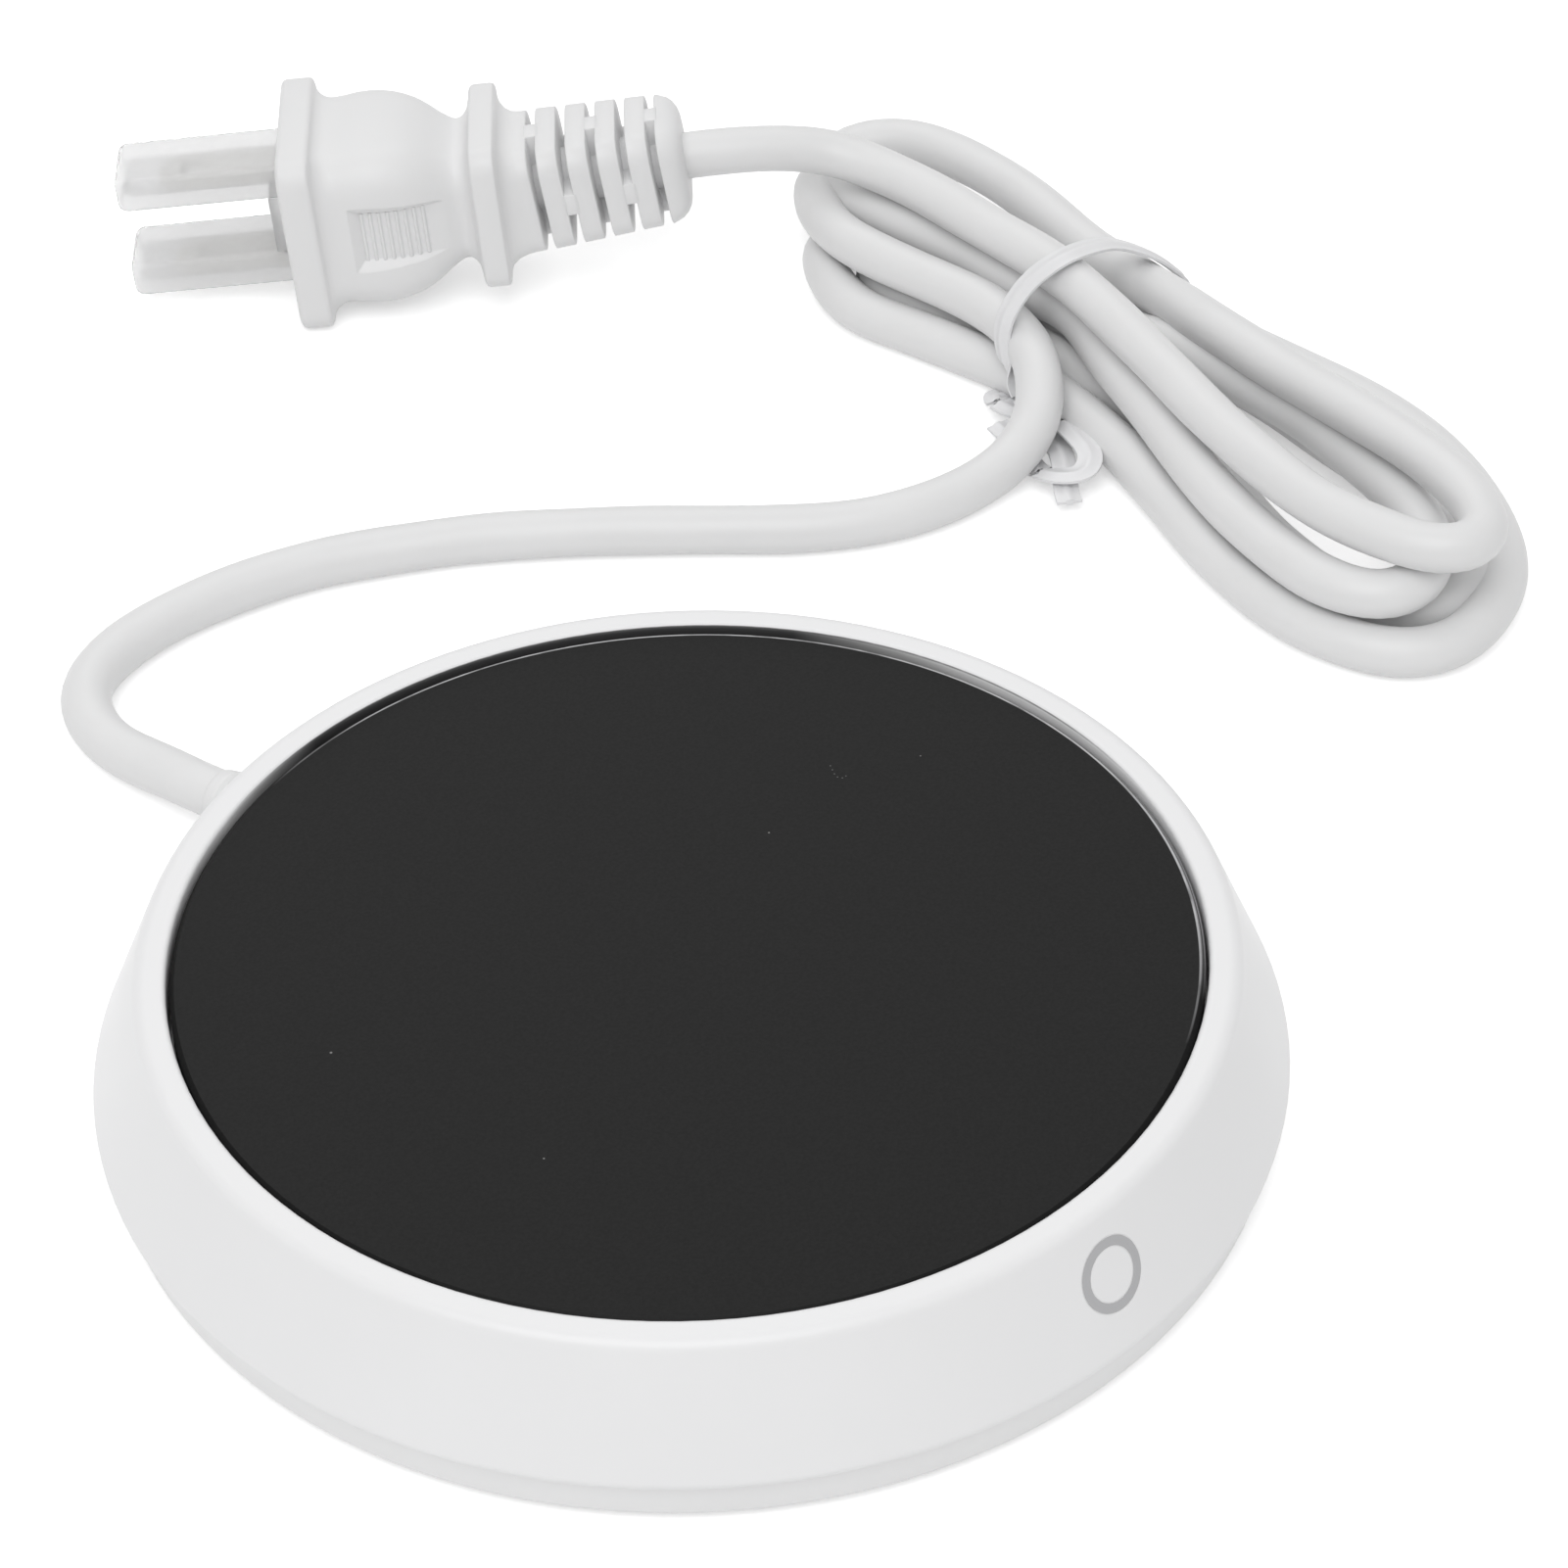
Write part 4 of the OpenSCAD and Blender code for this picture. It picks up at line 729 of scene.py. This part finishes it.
def make_tie():
    """A ribbon with a wire rib down its middle, flat on the hank and flat on the table."""
    line = curve_through(TIE_TIP_A + TIE_LOOP + TIE_TIP_B, step=0.5, rounds=4)
    on_hank = np.array([
        (x - TIE_TURN_X) / TIE_TURN_RUN if z < TIE_TURN_Z else 1.0 for x, _, z in line
    ]).clip(0, 1)
    for _ in range(12):
        on_hank[1:-1] = (on_hank[1:-1] * 2 + on_hank[2:] + on_hank[:-2]) / 4
    across = np.array(TIE_ACROSS)
    section = TIE_TOP + [(a, -b) for a, b in TIE_TOP[::-1]]
    rings = []
    for p, tangent, share in zip(line, tangents(line), on_hank):
        flat = np.cross(tangent, (0, 0, 1.0))
        flat /= max(np.linalg.norm(flat), 1e-6)
        if flat @ across < 0:
            flat = -flat
        w = share * across + (1 - share) * flat
        w -= (w @ tangent) * tangent
        w /= np.linalg.norm(w)
        n = np.cross(tangent, w)
        rings.append([p + a * w + b * n for a, b in section])
    return loft(rings)


tie = piece("twist_tie_ribbon", make_tie(), MAT["tie"], "housing", 50)
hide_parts("twist_tie")

# ------------------------------------------------------------------ plug
# Distance from the front face, side of the square section, corner radius
PLUG_FRONT = [
    (0, 23.5, 2.6), (0.1, 24, 2.8), (0.35, 24.55, 3), (0.75, 24.8, 3.2), (3.5, 24.8, 3.2),
    (3.9, 24.65, 3.2), (4.12, 24.25, 3.3), (4.2, 23.9, 3.4),
]
PLUG_WAIST = [
    (4.35, 23.1, 3.9), (4.85, 22.2, 4.3), (5.8, 21.6, 4.7), (7.5, 21.75, 5), (10, 22.35, 5.2),
    (12.5, 22.3, 5.2), (15, 21.55, 5.2), (17.5, 19.8, 5), (20, 16.9, 4.6), (21.2, 15.6, 4.3),
    (22.1, 15, 4.1), (22.9, 15.5, 4), (23.5, 16.8, 3.8),
]
PLUG_REAR = [
    (23.8, 18.4, 3.5), (23.9, 19.6, 3.3), (24.15, 20.3, 3.2), (24.55, 20.55, 3.2),
    (26.7, 20.55, 3.2), (27.1, 20.4, 3.2), (27.3, 19.9, 3.2), (27.42, 18.2, 3.3),
]
# And here the share of the bend
PLUG_ROOT = [
    (27.7, 17, 3.4, 0), (28.4, 15.9, 3.4, 0.25), (29.4, 15.15, 3.3, 0.6), (30.6, 14.9, 3.3, 1),
    (31.45, 14.85, 3.3, 1), (31.54, 14.75, 3.2, 1), (31.6, 14.55, 3.1, 1),
]
RIBS, RELIEF_FIRST, RELIEF_PITCH, RELIEF_GAP = 5, 31.6, 3.82, 1.2
RELIEF_SIDE, RELIEF_TAPER, RELIEF_CORNER, RELIEF_CORE_R = 14.85, 0.27, 3.2, 3.6
# Webs: outer end and what it loses per rib, inner end, width, depth into the ribs beside it
WEB_REACH, WEB_TAPER, WEB_FROM, WEB_W, WEB_SINK = 7.43, 0.135, 2, 3, 0.3
# Distance from an end and what the side loses there: start of a rib, its end, the cap's end
RIB_START = [(0, 0.3), (0.06, 0.1), (0.15, 0)]
RIB_END = [(0.15, 0.16), (0.06, 0.26), (0, 0.46)]
CAP_END = [(2.2, 0.3), (1.4, 0.8), (0.7, 1.7), (0.25, 2.8), (0.06, 3.8), (0, 4.8)]


def plug_body():
    """Front flange, waisted body, rear flange and the root of the strain relief."""
    waist = [tuple(p) for p in curve_through(PLUG_WAIST, step=0.6, rounds=1)]
    stations = [(*s, 0) for s in PLUG_FRONT + waist + PLUG_REAR] + PLUG_ROOT
    return loft([
        [bend(share) @ Vector(v) for v in round_rect(side, side, r, z)]
        for z, side, r, share in stations
    ])


def relief():
    """Ribs and end cap on a core, with flush webs that alternate between the two directions."""
    parts = []
    for i in range(RIBS):
        start = RELIEF_FIRST + i * RELIEF_PITCH + RELIEF_GAP
        side = RELIEF_SIDE - RELIEF_TAPER * i
        last = i == RIBS - 1
        end = PLUG_L if last else start + RELIEF_PITCH - RELIEF_GAP
        rings = [(start + rise, side - less) for rise, less in RIB_START]
        rings += [(end - rise, side - less) for rise, less in (CAP_END if last else RIB_END)]
        parts.append(loft([round_rect(s, s, RELIEF_CORNER, h) for h, s in rings]))
    parts.append(rod(RELIEF_CORE_R, RELIEF_FIRST - 1, PLUG_L - 2))
    for i in range(RIBS):
        z = RELIEF_FIRST + i * RELIEF_PITCH - WEB_SINK
        top = z + RELIEF_GAP + 2 * WEB_SINK
        reach = WEB_REACH - WEB_TAPER * i
        turn = Matrix.Rotation(math.pi / 2 * (i % 2), 4, "Z")
        for s in (-1, 1):
            web = block(reach - WEB_FROM, WEB_W, z, top, r=0.12, e=0.02, steps=2)
            parts.append(moved(shifted(web, s * (reach + WEB_FROM) / 2), turn))
    return moved(joined(parts), bend())


def cut_away(target, cutters):
    """Subtracts closed meshes from an object and applies the result."""
    for verts, faces in cutters:
        mesh = bpy.data.meshes.new("cutter")
        mesh.from_pydata([Vector(v) * MM for v in verts], [], faces)
        tool = placed("cutter", mesh)
        mod = target.modifiers.new("cut", "BOOLEAN")
        mod.operation = "DIFFERENCE"
        mod.solver = "EXACT"
        mod.object = tool
        bpy.context.view_layer.update()
        result = bpy.data.meshes.new_from_object(
            target.evaluated_get(bpy.context.evaluated_depsgraph_get())
        )
        target.modifiers.clear()
        old = target.data
        target.data = result
        bpy.data.meshes.remove(old)
        bpy.data.objects.remove(tool)
        bpy.data.meshes.remove(mesh)


# Recess of the grip: place along the axis, height of the surface and of the floor over the axis,
# then the outer and inner edge below and the inner and outer edge above
GRIP = [
    (8.1, 11.02, 11, -4.4, -4.35, 5.2, 5.25), (9.4, 11.15, 10, -4.4, -2.9, 3.9, 5.25),
    (12.75, 11.2, 10.15, -4.15, -3, 3.85, 5.1), (15, 10.85, 9.95, -4, -3.05, 3.8, 4.85),
    (17.5, 9.95, 9.3, -3.8, -3.15, 3.75, 4.5), (19, 9.1, 8.7, -3.65, -3.3, 3.7, 4.1),
    (20.3, 8.4, 8.35, -3.5, -3.45, 3.65, 3.7),
]
GRIP_OUTSIDE = 13
GRIP_RIBS, GRIP_FIRST, GRIP_PITCH, GRIP_RIB_ENDS = 8, 9.72, 1.11, (3.95, -3.1)
# Section of a rib: height over the recess's floor and distance along the plug's axis
GRIP_RIB = [(-0.2, -0.33), (0.1, -0.25), (0.25, -0.1), (0.25, 0.1), (0.1, 0.25), (-0.2, 0.33)]


def grip_parts(sign):
    """A recess with sloped edges in one side of the grip, and the ribs that cross it."""
    rings = [
        [
            (c, floor, z), (d, floor, z), (e, top, z),
            (e, GRIP_OUTSIDE, z), (b, GRIP_OUTSIDE, z), (b, top, z),
        ]
        for z, top, floor, b, c, d, e in GRIP
    ]
    turn = Matrix.Diagonal((1, sign, 1, 1))
    ribs = []
    for i in range(GRIP_RIBS):
        z = GRIP_FIRST + i * GRIP_PITCH
        y = float(np.interp(z, [g[0] for g in GRIP], [g[2] for g in GRIP]))
        rib = loft([[(x, y + up, z + on) for up, on in GRIP_RIB] for x in GRIP_RIB_ENDS])
        ribs.append(moved(rib, turn))
    return moved(loft(rings), turn), ribs


def make_plug():
    """The moulding with its recesses and blade slots cut out, then its relief and grip ribs."""
    cutters, ribs = [], []
    for sign in (1, -1):
        cutter, bars = grip_parts(sign)
        cutters.append(cutter)
        ribs += bars
    for s in (-1, 1):
        slot = block(BLADE_T, BLADE_W, -1, BLADE_SLOT, r=0.05, e=0.02, steps=1)
        cutters.append(shifted(slot, s * BLADE_AT))
    body = piece(
        "plug_body", moved(plug_body(), PLUG_FRAME), MAT["plug"], "housing", 35
    )
    cut_away(body, [moved(cutter, PLUG_FRAME) for cutter in cutters])
    shade(body.data, 35)
    details = moved(joined([relief(), *ribs]), PLUG_FRAME)
    tail = piece("plug_relief", details, MAT["relief"], "housing", 35)
    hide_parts("plug_moulding")
    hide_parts("plug_moulding")
    return body, tail


plug, plug_tail = make_plug()

# ------------------------------------------------------------------ blade cover
COVER_L, COVER_BASE, COVER_STAND = 21.3, 2, 0.3
# A sleeve's outside and inside, over the blade's thickness and width, and the base's sizes
COVER_OUT, COVER_IN = (4.8, 9.65), (2.1, 6.9)
BRIDGE = (8.1, 9.6)
# Distance from the closed end, what a side loses there, corner radius
COVER_END = [(1.1, 0, 0.8), (0.55, 0.2, 0.9), (0.2, 0.6, 0.9), (0.05, 1.1, 0.8), (0, 1.7, 0.7)]


def make_cover():
    """Two sleeves on a thin base, each an outer skin and an inner one."""
    (out_x, out_y), (in_x, in_y) = COVER_OUT, COVER_IN
    outer = [(-COVER_STAND, out_x, out_y, 0.7)]
    outer += [(at - COVER_L, out_x - less, out_y - less, r) for at, less, r in COVER_END]
    inner = [
        (1.2 - COVER_L, in_x - 0.8, in_y - 1, 0.4), (1.6 - COVER_L, in_x, in_y, 0.4),
        (-COVER_STAND, in_x, in_y, 0.3),
    ]
    sleeve = loft([round_rect(a, b, r, z, 5) for z, a, b, r in outer + inner], loop=True)
    bridge = shifted(block(*BRIDGE, 0, COVER_BASE, r=0.3, e=0.2), z=-COVER_BASE - COVER_STAND)
    return joined([shifted(sleeve, -BLADE_AT), shifted(sleeve, BLADE_AT), bridge])


cover = piece(
    "blade_cover_clear", moved(make_cover(), PLUG_FRAME), MAT["clear"], "cover", 45
)
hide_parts("blade_cover")

# ------------------------------------------------------------------ stage
FLOOR_HALF = 4
FLOOR_GLOW = 0.4
WORLD_LIGHT, WORLD_SEEN = 0.54, 1.0
LAMPS_AIM = Vector((0.05, 0.04, 0.01))
LAMP_SIZE = 1.1


def make_floor():
    """Paper-white ground for the camera, with the shadow kept."""
    mat, net, bsdf = shader("floor_white")
    net.feed(bsdf, {
        "Base Color": (0.9, 0.9, 0.9, 1),
        "Roughness": 0.9,
        "Specular IOR Level": 0,
        "Emission Color": (1, 1, 1, 1),
        "Emission Strength": net.times(net.shown(), FLOOR_GLOW),
    })
    mesh = bpy.data.meshes.new("floor")
    corners = [(x * FLOOR_HALF, y * FLOOR_HALF, 0) for x, y in ((-1, -1), (1, -1), (1, 1), (-1, 1))]
    mesh.from_pydata(corners, [], [(0, 1, 2, 3)])
    mesh.materials.append(mat)
    placed("floor", mesh)


def light(name, at, power):
    """A round soft lamp that looks at the middle of the object."""
    data = bpy.data.lights.new(name, "AREA")
    data.shape = "DISK"
    data.size = LAMP_SIZE
    data.energy = power
    obj = placed(name, data)
    obj.location = at
    obj.rotation_mode = "QUATERNION"
    obj.rotation_quaternion = (LAMPS_AIM - Vector(at)).to_track_quat("-Z", "Y")


def make_lights():
    """An even bright surround and two lamps high above."""
    world = bpy.data.worlds.new("studio")
    bpy.context.scene.world = world
    net = Net(world)
    net.feed(net.nodes["Background"], {
        "Color": (1, 1, 1, 1),
        "Strength": net.ramp(net.shown(), 0, 1, (WORLD_LIGHT, WORLD_SEEN)),
    })
    light("key", (-0.55, -0.3, 1.1), 7.6)
    light("fill", (0.55, 0.65, 1.1), 3)


make_floor()
make_lights()
bpy.context.scene.view_settings.view_transform = "Standard"
